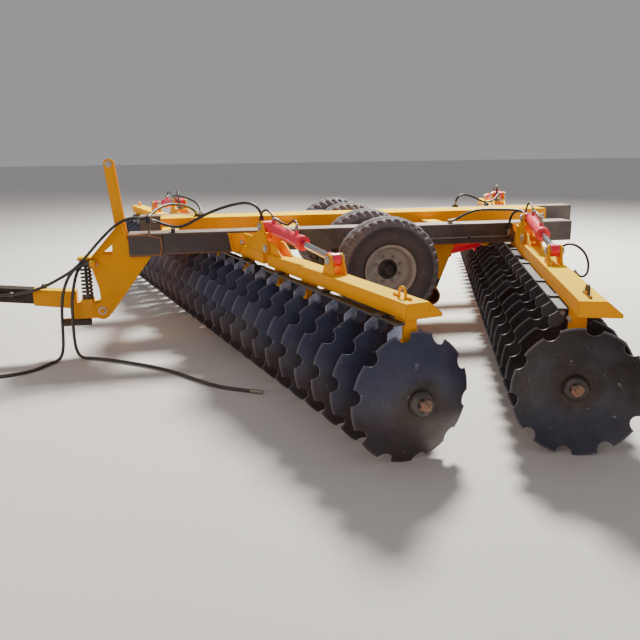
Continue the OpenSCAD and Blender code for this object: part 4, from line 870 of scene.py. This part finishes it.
TYRE = finish(
    "tyre_rubber", tyre_colour, roughness=0.75, bump=0.5, Fading=0.06, Dust=0.0, Splash=0.0, Rubbing=0.25,
    Under=ink(96, 92, 92),
)
columns = [(-y, r, wave, notch) for y, r, wave, notch in reversed(TREAD)] + TREAD
for side, name in ((1, "left"), (-1, "right")):
    bm = bmesh.new()
    for y_middle in TYRE_MIDDLES:
        rings = [tyre_ring(bm, columns, k, side * y_middle) for k in range(TYRE_STEPS)]
        for one, two in zip(rings, rings[1:] + rings[:1]):
            for i in range(len(columns)):
                j = (i + 1) % len(columns)
                bm.faces.new((one[i], two[i], two[j], one[j]))
    tyres = piece_from(name + "_tyre_treads", bm, None, TYRE, "tyre", smooth=38)
    tyres.location = at(TYRE_X, 0, TYRE_Z)
    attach(tyres, name + "_wheel_pair")
    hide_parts(name + "_tyres")


# Wheels: pressed steel rims with a dished disc, in pale dusty paint. Eight nuts and studs hold each to a dark
# hub with its cap, and a valve stands in the dish.
RIM_OUTLINE = [
    (186, -115), (205, -126), (212, -128), (212, -120), (205, -117), (197.7, -110), (197.7, 110),
    (205, 117), (212, 120), (212, 128), (205, 126), (190, 116), (184, 108), (183, 60), (176, 46),
    (160, 48), (142, 42), (130, 32), (80, 31), (80, 24), (128, 25), (142, 34), (158, 40), (178, 38),
    (184, 30), (184, -108),
]
HUB_OUTLINE = [
    (62, -60), (81, -40), (81, 33), (77, 38), (66, 38), (60, 44), (56, 50), (46, 54), (43, 58), (42, 78),
    (36, 84),
]
WHEEL_NUTS, WHEEL_NUT_R, WHEEL_NUT_FOOT = 8, 105, 31
WHEEL_NUT = 22, 14
STUD = [(6, 12), (6, 22)]
VALVE_PLACE, VALVE_LEAN = (168, 0, 40), 0.5
VALVE = [(4, 0), (4, 26), (5, 26), (5, 36)]


def around(radius, angle, height):
    """A move off an axis to a place on a circle round it, as a matrix."""
    return shifted(radius * cos(angle), radius * sin(angle), height)


RIM = finish(
    "wheel_paint", ink(166, 154, 148), roughness=0.5, Fading=0.25, Dust=0.2, Splash=0.45, Rubbing=0.6,
    Under=ink(110, 66, 42), Soil=ink(150, 122, 100),
)
for side, name in ((1, "left"), (-1, "right")):
    rims, hubs = bmesh.new(), bmesh.new()
    for y_middle in TYRE_MIDDLES:
        out = side if y_middle == TYRE_MIDDLES[1] else -side
        face = Matrix.Translation(at(TYRE_X, side * y_middle, TYRE_Z))
        face = face @ Matrix.Rotation(-out * pi / 2, 4, "X")
        turned(rims, face, RIM_OUTLINE, 72, closed=True)
        turned(hubs, face, HUB_OUTLINE, 40)
        for k in range(WHEEL_NUTS):
            stud = face @ around(WHEEL_NUT_R, 2 * pi * (k + 0.5) / WHEEL_NUTS, WHEEL_NUT_FOOT)
            nut(rims, stud, *WHEEL_NUT)
            turned(rims, stud, STUD, 12)
        turned(hubs, face @ shifted(*VALVE_PLACE) @ Matrix.Rotation(VALVE_LEAN, 4, "Y"), VALVE, 12)
    rims = piece_from(name + "_rims", rims, name + "_wheel_pair", RIM, "wheel_paint")
    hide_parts(name + "_wheels")
    piece_from(name + "_hubs", hubs, name + "_wheel_pair", IRON, "wheel_paint")


# Drawbar: a welded pivot box and tongue in yellow, with a dark tube and hitch eye; the change is where the
# tongue clasps the tube, 480 mm ahead of the pivot. The jack's leg in its yellow tube is bare steel.
TONGUE_END, TUBE_START = 2.2564, 2.2574
BOX_BOTTOM, BOX_PAINT = 0.2980, 0.2985


def drawbar_colour(tree):
    x, _, z = parts_of(tree, surface(tree))
    ahead = between(tree, x, TONGUE_END, TUBE_START)
    below = between(tree, z, BOX_PAINT, BOX_BOTTOM)
    return mix(tree, calc(tree, "MAXIMUM", ahead, below), yellow_with_painted_light(tree), ink(56, 52, 50))


DRAWBAR = finish(
    "drawbar_paint", drawbar_colour, roughness=0.5, specular=0.02, Fading=0.03, Dust=0.06, Splash=0.25,
    Rubbing=0.7,
)
STEEL = finish(
    "jack_steel", ink(120, 116, 110), roughness=0.4, metallic=0.7, Fading=0.2, Dust=0.3, Splash=0.5,
    Rubbing=0.5,
)
dress(DRAWBAR, "drawbar")
dress(STEEL, "jack_leg")


# Spring over the drawbar's pivot: a helix of 18 mm wire, 94 mm across, wound of spring steel and held between
# a seat and a cap, round its rod.
SPRING_X, SPRING_Y, SEAT_Z, CAP_Z = 2486, DRAWBAR_Y, 453.3, 772
WIRE_R, COIL_R, COILS = 9, 38, 11
COIL_STEPS = 24
FLAT_COILS = 0.8
SEAT_THICK, CAP_THICK = 8, 12
ROD_TOP = CAP_Z - SEAT_Z - 14
SEAT_OUTLINE = [(38, 0), (46, 0), (46, 6), (30, SEAT_THICK), (12, SEAT_THICK), (12, ROD_TOP)]
CAP_OUTLINE = [
    (12, ROD_TOP), (46, CAP_Z - SEAT_Z - CAP_THICK), (46, CAP_Z - SEAT_Z), (10, CAP_Z - SEAT_Z),
]
SPRING = finish(
    "spring_steel", ink(44, 42, 44), roughness=0.4, metallic=0.3, Fading=0.1, Dust=0.35, Splash=0.3,
    Rubbing=0.5, Under=ink(150, 140, 136),
)
bm = bmesh.new()
low, high = SEAT_Z + SEAT_THICK + WIRE_R, CAP_Z - CAP_THICK - WIRE_R
helix = []
for k in range(COILS * COIL_STEPS + 1):
    coil = k / COIL_STEPS
    angle = coil * 2 * pi
    # The end coils lie flat
    climb = min(max((coil - FLAT_COILS) / (COILS - 2 * FLAT_COILS), 0), 1)
    z = low + (high - low) * climb
    helix.append(at(SPRING_X + COIL_R * cos(angle), SPRING_Y + COIL_R * sin(angle), z))
swept(bm, helix, WIRE_R, 10)
seat, cap = at(SPRING_X, SPRING_Y, SEAT_Z), at(SPRING_X, SPRING_Y, CAP_Z)
turned(bm, Matrix.Translation(seat), SEAT_OUTLINE, 32)
turned(bm, Matrix.Translation(seat), CAP_OUTLINE, 32)
spring = piece_from("drawbar_spring_coil", bm, None, SPRING, "spring_steel")
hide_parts("drawbar_spring")
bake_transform(spring)


# Hoses on the frame: five black rubber hoses with crimped zinc ends, a hard pipe along the left rail in three
# clips, the clamp post, the clip, the block on the spine and the fittings on the towers' bars.
FRAME_HOSE_D = 22
FRAME_HOSES = {
    "front_left": [
        (1948, 850, 1078), (1892, 848, 1060), (1836, 848, 1038), (1780, 850, 1022), (1722, 855, 1020),
        (1666, 864, 1038), (1614, 878, 1066), (1562, 898, 1094), (1512, 924, 1120), (1464, 955, 1143),
        (1417, 989, 1163), (1370, 1024, 1181), (1322, 1057, 1196), (1273, 1088, 1208), (1224, 1114, 1214),
        (1177, 1134, 1207), (1137, 1148, 1182), (1110, 1156, 1138), (1097, 1159, 1084),
        (1093, 1160, 1024),
    ],
    "across": [
        (1966, 800, 1092), (1950, 748, 1112), (1926, 694, 1130), (1898, 640, 1146), (1869, 585, 1157),
        (1838, 530, 1163), (1806, 474, 1166), (1774, 418, 1163), (1743, 361, 1156), (1713, 304, 1146),
        (1684, 247, 1134), (1655, 190, 1119), (1626, 135, 1099), (1598, 88, 1072), (1578, 60, 1038),
    ],
    "front_right": [
        (1540, -10, 1042), (1546, -52, 1080), (1560, -106, 1108), (1578, -164, 1126), (1597, -224, 1137),
        (1617, -284, 1144), (1638, -344, 1149), (1659, -404, 1153), (1681, -464, 1156),
        (1703, -524, 1158), (1725, -584, 1159), (1746, -645, 1158), (1766, -706, 1156),
        (1783, -768, 1152), (1796, -831, 1147), (1803, -895, 1140), (1802, -959, 1131),
        (1792, -1021, 1119), (1774, -1079, 1100), (1750, -1128, 1074), (1728, -1160, 1036),
        (1720, -1171, 1000),
    ],
    "rear_left": [
        (-1060, 851, 872), (-1059, 856, 924), (-1057, 872, 978), (-1055, 904, 1030), (-1056, 956, 1068),
        (-1061, 1016, 1086), (-1069, 1076, 1086), (-1079, 1126, 1062), (-1088, 1149, 1014),
    ],
    "rear_arch": [
        (-1187, -760, 978), (-1196, -764, 1030), (-1224, -772, 1076), (-1276, -784, 1096),
        (-1338, -796, 1090), (-1398, -808, 1072), (-1456, -820, 1048), (-1514, -832, 1024),
        (-1574, -846, 1006), (-1636, -866, 1010), (-1692, -896, 1032), (-1742, -936, 1060),
        (-1784, -984, 1082), (-1818, -1038, 1086), (-1842, -1092, 1064), (-1855, -1132, 1012),
    ],
}
HOSE_BLOCKS = (  # two corners of each
    ((1948, 800, 1056), (1985, 905, 1083)), ((1948, 800, 1085), (1985, 905, 1112)),
    ((1960, 800, 970), (1972, 835, 1062)), ((1764, 765, 970), (1796, 865, 1005)),
    ((1500, -50, 1020), (1600, 80, 1044)), ((-1215, -790, 970), (-1160, -735, 992)),
    ((-1590, -866, 970), (-1558, -800, 996)),
)
BLOCK_BOLT = 17, 9
BLOCK_BOLTS = (
    (1966, 815, 1112), (1966, 888, 1112), (1520, 60, 1044), (1580, -30, 1044), (-1172, -745, 992),
    (-1574, -815, 996),
)
PIPE_Y, PIPE_Z, PIPE_R = 843.3, 855, 8
PIPE_ENDS = (-1060, 300)
PIPE_CLIPS = (-1060, -700, 300)
CLIP_HALF, CLIP_THICK, CLIP_LOW, CLIP_HIGH = 16, 4, 835, 875
CLIP_RING = [(8, 0), (12, 0), (12, 24), (8, 24)]
CLIP_BOLT, CLIP_BOLT_Z = (12, 7), 870
TOWER_FITTING_OUT, TOWER_FITTING_Z = 1208, 986
FITTING_HEXAGON = [(17, 0), (17, 20), (15, 22)]
FITTING_NECK = [(14, 20), (14, 40), (11, 44)]


def box(bm, low, high):
    """A block between two corners in the machine's frame."""
    a, b = at(*low), at(*high)
    bmesh.ops.create_cube(bm, size=1, matrix=Matrix.Translation((a + b) / 2) @ Matrix.Diagonal((*(b - a), 1)))


rubber, metal, holders = bmesh.new(), bmesh.new(), bmesh.new()
for route in FRAME_HOSES.values():
    line = smooth_line([at(*p) for p in route])
    swept(rubber, line, FRAME_HOSE_D / 2)
    crimp_start(metal, line)
    crimp_end(metal, line)
for low, high in HOSE_BLOCKS:
    box(holders, low, high)
for place in BLOCK_BOLTS:
    nut(metal, Matrix.Translation(at(*place)), *BLOCK_BOLT)
rear_end, front_end = PIPE_ENDS
pipe_line = [at(x, PIPE_Y, PIPE_Z) for x in (rear_end, rear_end + 1, front_end - 1, front_end)]
swept(metal, pipe_line, PIPE_R, 14)
for x in PIPE_CLIPS:
    clip_face = RAIL_SIDE + CLIP_THICK
    box(holders, (x - CLIP_HALF, RAIL_SIDE, CLIP_LOW), (x + CLIP_HALF, clip_face, CLIP_HIGH))
    turned(holders, facing(at(x - 12, PIPE_Y, PIPE_Z), (1, 0, 0)), CLIP_RING, 20)
    nut(metal, facing(at(x, clip_face, CLIP_BOLT_Z), (0, 1, 0)), *CLIP_BOLT)
crimp(metal, at(rear_end, PIPE_Y, PIPE_Z + 7), Vector((0, 0, -1)))
crimp(metal, at(front_end + 6, PIPE_Y, PIPE_Z), Vector((1, 0, 0)))
for row in ROWS:
    for side in (1, -1):
        place = row_frame(row) @ shifted(PIN_LINE, side * TOWER_FITTING_OUT, TOWER_FITTING_Z)
        turned(metal, place, FITTING_HEXAGON, 6)
        turned(metal, place, FITTING_NECK, 20)
frame_hoses = piece_from("frame_hose_rubber", rubber, "root", RUBBER, "hose_rubber")
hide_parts("frame_hoses")
piece_from("frame_hose_ends", metal, "root", ZINC, "jack_steel")
piece_from("frame_hose_holders", holders, "root", SPRING, "spring_steel")


# Supply hoses: two black rubber hoses side by side from the clamp down to the drawbar and along it in clips,
# with couplers in a holder behind the hitch.
SUPPLY = [
    (1985.3, 842, 1092), (2012, 842, 1092), (2056, 848, 1097), (2104, 856, 1096), (2152, 862, 1081),
    (2204, 866, 1054), (2254, 868, 1016), (2302, 868, 972), (2348, 868, 926), (2392, 868, 879),
    (2436, 866, 831), (2480, 862, 784), (2526, 856, 740), (2574, 848, 701), (2626, 840, 667),
    (2682, 830, 636), (2738, 821, 606), (2796, 813, 580), (2856, 810, 558), (2916, 809, 542),
    (2978, 809, 533), (3042, 809, 528), (3108, 809, 526), (3172, 809, 532), (3234, 809, 548),
    (3292, 809, 574), (3344, 809, 607), (3396, 796, 631), (3452, 776, 635), (3512, 761, 635),
    (3574, 755, 637), (3638, 753, 643), (3702, 752, 650), (3766, 752, 657), (3800, 752, 661),
]
SUPPLY_APART = 24
SUPPLY_CLIPS = (
    ((2780, 797, 566), (2812, 852, 598)),
    ((3026, 797, 512), (3058, 848, 544)),
    ((3560, 738, 622), (3580, 792, 652)),
)
CLIP_BOLT_INSET = 8
COUPLER_HOLDER = ((3800, 730, 645), (3812, 798, 685))
SUPPLY_BOLT = 13, 8
CRIMP_AHEAD, COUPLER_AHEAD = offset(46, 0, 2), offset(12, 0, 1)
SLEEVE_OUTLINE = [
    (12.5, 0), (14, 2), (14, 8), (13, 10), (14, 12), (14, 18), (13, 20), (14, 22), (14, 28), (10, 31),
]
SLEEVE_OVERLAP = 16
HEXAGON_OUTLINE = [(15, 30), (15, 42), (13, 44)]
COUPLER_OUTLINE = [(11, 43), (13, 45), (13, 52), (15, 54), (15, 66), (13, 68), (12, 82), (9, 88), (9, 90)]
KNURLS, KNURL_R, KNURL_FOOT = 12, 14.8, 55
KNURL = [(0.9, 0), (0.9, 10)]


def coupling(bm, end, way):
    """A crimped sleeve over the hose's end, a hexagon and a quick coupler with its knurled sliding ring."""
    place = facing(end - SLEEVE_OVERLAP * MM * way, way)
    turned(bm, place, SLEEVE_OUTLINE, 20)
    turned(bm, place, HEXAGON_OUTLINE, 6)
    turned(bm, place, COUPLER_OUTLINE, 24)
    for k in range(KNURLS):
        turned(bm, place @ around(KNURL_R, 2 * pi * k / KNURLS, KNURL_FOOT), KNURL, 6)


rubber, metal, holders, clamped = (bmesh.new() for _ in range(4))
for shift in (0, SUPPLY_APART):
    line = smooth_line([at(x, y + shift, z) for x, y, z in SUPPLY])
    swept(rubber, line, FRAME_HOSE_D / 2)
    crimp(clamped, line[0] + CRIMP_AHEAD, (line[0] - line[2]).normalized())
    coupling(metal, line[-1] + COUPLER_AHEAD, (line[-1] - line[-4]).normalized())
for low, high in SUPPLY_CLIPS:
    box(holders, low, high)
    bolt = at((low[0] + high[0]) / 2, high[1] - CLIP_BOLT_INSET, high[2])
    nut(metal, Matrix.Translation(bolt), *SUPPLY_BOLT)
box(holders, *COUPLER_HOLDER)
supply = piece_from("supply_hose_rubber", rubber, None, RUBBER, "hose_rubber")
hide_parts("supply_hoses")
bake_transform(supply)
piece_from("supply_hose_ends", metal, "drawbar_arm", ZINC, "jack_steel")
piece_from("supply_hose_clamped_ends", clamped, "root", ZINC, "jack_steel")
piece_from("supply_hose_clips", holders, "drawbar_arm", SPRING, "spring_steel")


# Trim hoses: a thin one looped behind the rear left wing, between fittings on its beam, and a thicker one
# that rises from a block on the left rail to the rear left tower. Both are rubber with crimped zinc ends.
WING_HOSE = [  # in the wing's frame at its fold pin
    (-72, 872, -26), (-73, 873, 12), (-90, 886, 54), (-130, 915, 82), (-180, 955, 72), (-222, 995, 30),
    (-240, 1025, -30), (-235, 1040, -84), (-215, 1036, -112), (-188, 1018, -112), (-160, 1000, -84),
]
WING_CRIMP = 0.8
RAIL_HOSE = [
    (-560, 770, 988), (-610, 772, 1006), (-664, 778, 1034), (-722, 790, 1062), (-782, 808, 1080),
    (-842, 836, 1088), (-900, 874, 1090), (-956, 922, 1092), (-1008, 974, 1094), (-1056, 1030, 1092),
    (-1094, 1082, 1080), (-1118, 1120, 1058), (-1128, 1138, 1020),
]
RAIL_HOSE_R = 10
RAIL_BLOCK = ((-572, 750, 970), (-540, 792, 1004))
rubber, metal = bmesh.new(), bmesh.new()
line = points_in(wing_frame("rear", "left"), WING_HOSE)
swept(rubber, line, THIN_HOSE_D / 2)
crimp_start(metal, line, WING_CRIMP)
crimp_end(metal, line, WING_CRIMP)
piece_from("rear_left_wing_hose", rubber, "rear_left_wing", RUBBER, "hose_rubber")
piece_from("rear_left_wing_hose_ends", metal, "rear_left_wing", ZINC, "jack_steel")
rubber, metal = bmesh.new(), bmesh.new()
line = smooth_line([at(*p) for p in RAIL_HOSE])
swept(rubber, line, RAIL_HOSE_R)
crimp_start(metal, line)
crimp_end(metal, line)
box(metal, *RAIL_BLOCK)
piece_from("rear_rail_hose", rubber, "root", RUBBER, "hose_rubber")
piece_from("rear_rail_hose_ends", metal, "root", ZINC, "jack_steel")


# Loose hoses: two black rubber hoses, 24 mm thick, from the clip on the drawbar's plate to the ground, each
# with a quick coupler. One runs forward and is wound up beyond the view, the other back beside the discs.
HOSE_D = 24
DROP_ROUTE = [
    (2430, 912, 755), (2456, 912, 755), (2502, 918, 744), (2546, 922, 716), (2584, 922, 672),
    (2614, 920, 618), (2636, 917, 560), (2652, 914, 500), (2662, 911, 438), (2668, 910, 376),
    (2671, 911, 314), (2673, 913, 252), (2675, 918, 190), (2678, 926, 128), (2686, 938, 72),
    (2702, 957, 32), (2728, 988, 14), (2758, 1030, 13), (2786, 1081, 13), (2815, 1135, 13),
    (2850, 1185, 13), (2895, 1228, 13), (2950, 1260, 13), (3012, 1283, 13), (3078, 1298, 13),
    (3144, 1310, 13), (3210, 1320, 13), (3275, 1327, 13), (3340, 1330, 13),
]
GROUND_ROUTE = [
    (2430, 838, 755), (2456, 838, 755), (2496, 842, 738), (2530, 850, 696), (2552, 856, 640),
    (2568, 862, 580), (2580, 867, 520), (2589, 871, 458), (2594, 874, 396), (2596, 878, 332),
    (2597, 882, 266), (2597, 887, 200), (2594, 895, 136), (2585, 907, 78), (2564, 922, 34),
    (2526, 938, 14), (2474, 957, 13), (2414, 985, 13), (2354, 1018, 13), (2296, 1054, 13),
    (2240, 1092, 13), (2184, 1132, 13), (2128, 1174, 13), (2072, 1217, 13), (2018, 1262, 13),
    (1966, 1309, 13), (1916, 1358, 13), (1868, 1409, 13), (1822, 1462, 13), (1778, 1516, 13),
    (1736, 1572, 13), (1694, 1628, 13), (1652, 1684, 13), (1610, 1740, 13), (1566, 1795, 13),
    (1518, 1847, 13), (1464, 1893, 13), (1405, 1933, 13), (1345, 1970, 13), (1286, 2008, 13),
]
COIL_MIDDLE = (3340, 1174, 13)
OUTER_TURN_R, LAST_TURN_R = 156, 90
COIL_START, COIL_END, COIL_STEP = 75, -745, 15  # degrees
COIL_JOGS, JOG_LENGTH = (-190, -550), 60
LAST_STEPS, LAST_RISE = 8, 3
COUPLER_RISE = offset(0, 0, 2.7)  # a coupler is thicker than its hose


def coil_points():
    """The coil's turns lie side by side, each shifting inward where it passes the place it began. The last
    part bends in a little more tightly, so that the coupling lies inside."""
    x, y, z = COIL_MIDDLE
    points = []
    for degrees in range(COIL_START, COIL_END - 1, -COIL_STEP):
        shifts = sum(min(max((jog - degrees) / JOG_LENGTH, 0), 1) for jog in COIL_JOGS)
        r = OUTER_TURN_R - HOSE_D * shifts
        points.append((x + r * cos(radians(degrees)), y + r * sin(radians(degrees)), z))
    off_middle = OUTER_TURN_R - HOSE_D * len(COIL_JOGS) - LAST_TURN_R
    x += off_middle * cos(radians(COIL_END))
    y += off_middle * sin(radians(COIL_END))
    for k in range(1, LAST_STEPS + 1):
        a = radians(COIL_END - COIL_STEP * k)
        z_now = z + LAST_RISE * k / LAST_STEPS
        points.append((x + LAST_TURN_R * cos(a), y + LAST_TURN_R * sin(a), z_now))
    return points


def tube(name, line, diameter):
    """A round tube as a curve of one open spline."""
    data = bpy.data.curves.new(name, "CURVE")
    data.dimensions = "3D"
    data.bevel_depth = diameter / 2
    data.bevel_resolution = 4
    data.use_fill_caps = True
    spline = data.splines.new("POLY")
    spline.points.add(len(line) - 1)
    for point, place in zip(spline.points, line):
        point.co = (*place, 1)
    spline.use_smooth = True
    piece = bpy.data.objects.new(name, data)
    bpy.context.collection.objects.link(piece)
    return piece


def loose_hose(name, line):
    """A hose that the machine doesn't hold, and the coupler on its end."""
    hose = tube(name + "_hose_rubber", line, HOSE_D * MM)
    hose.data.materials.append(RUBBER)
    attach(hose, "root")
    bm = bmesh.new()
    coupling(bm, line[-1] + COUPLER_RISE, (line[-1] - line[-4]).normalized())
    return hose, piece_from(name + "_hose_coupler", bm, "root", ZINC, "jack_steel")


drop_line = smooth_line([at(*p) for p in DROP_ROUTE + coil_points()])
ground_line = smooth_line([at(*p) for p in GROUND_ROUTE])
drop_hose, drop_coupler = loose_hose("drop", drop_line)
ground_hose, ground_coupler = loose_hose("ground", ground_line)
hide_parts("drop_hose", "hose_coil")
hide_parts("ground_hose")
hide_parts("ground_coupling")
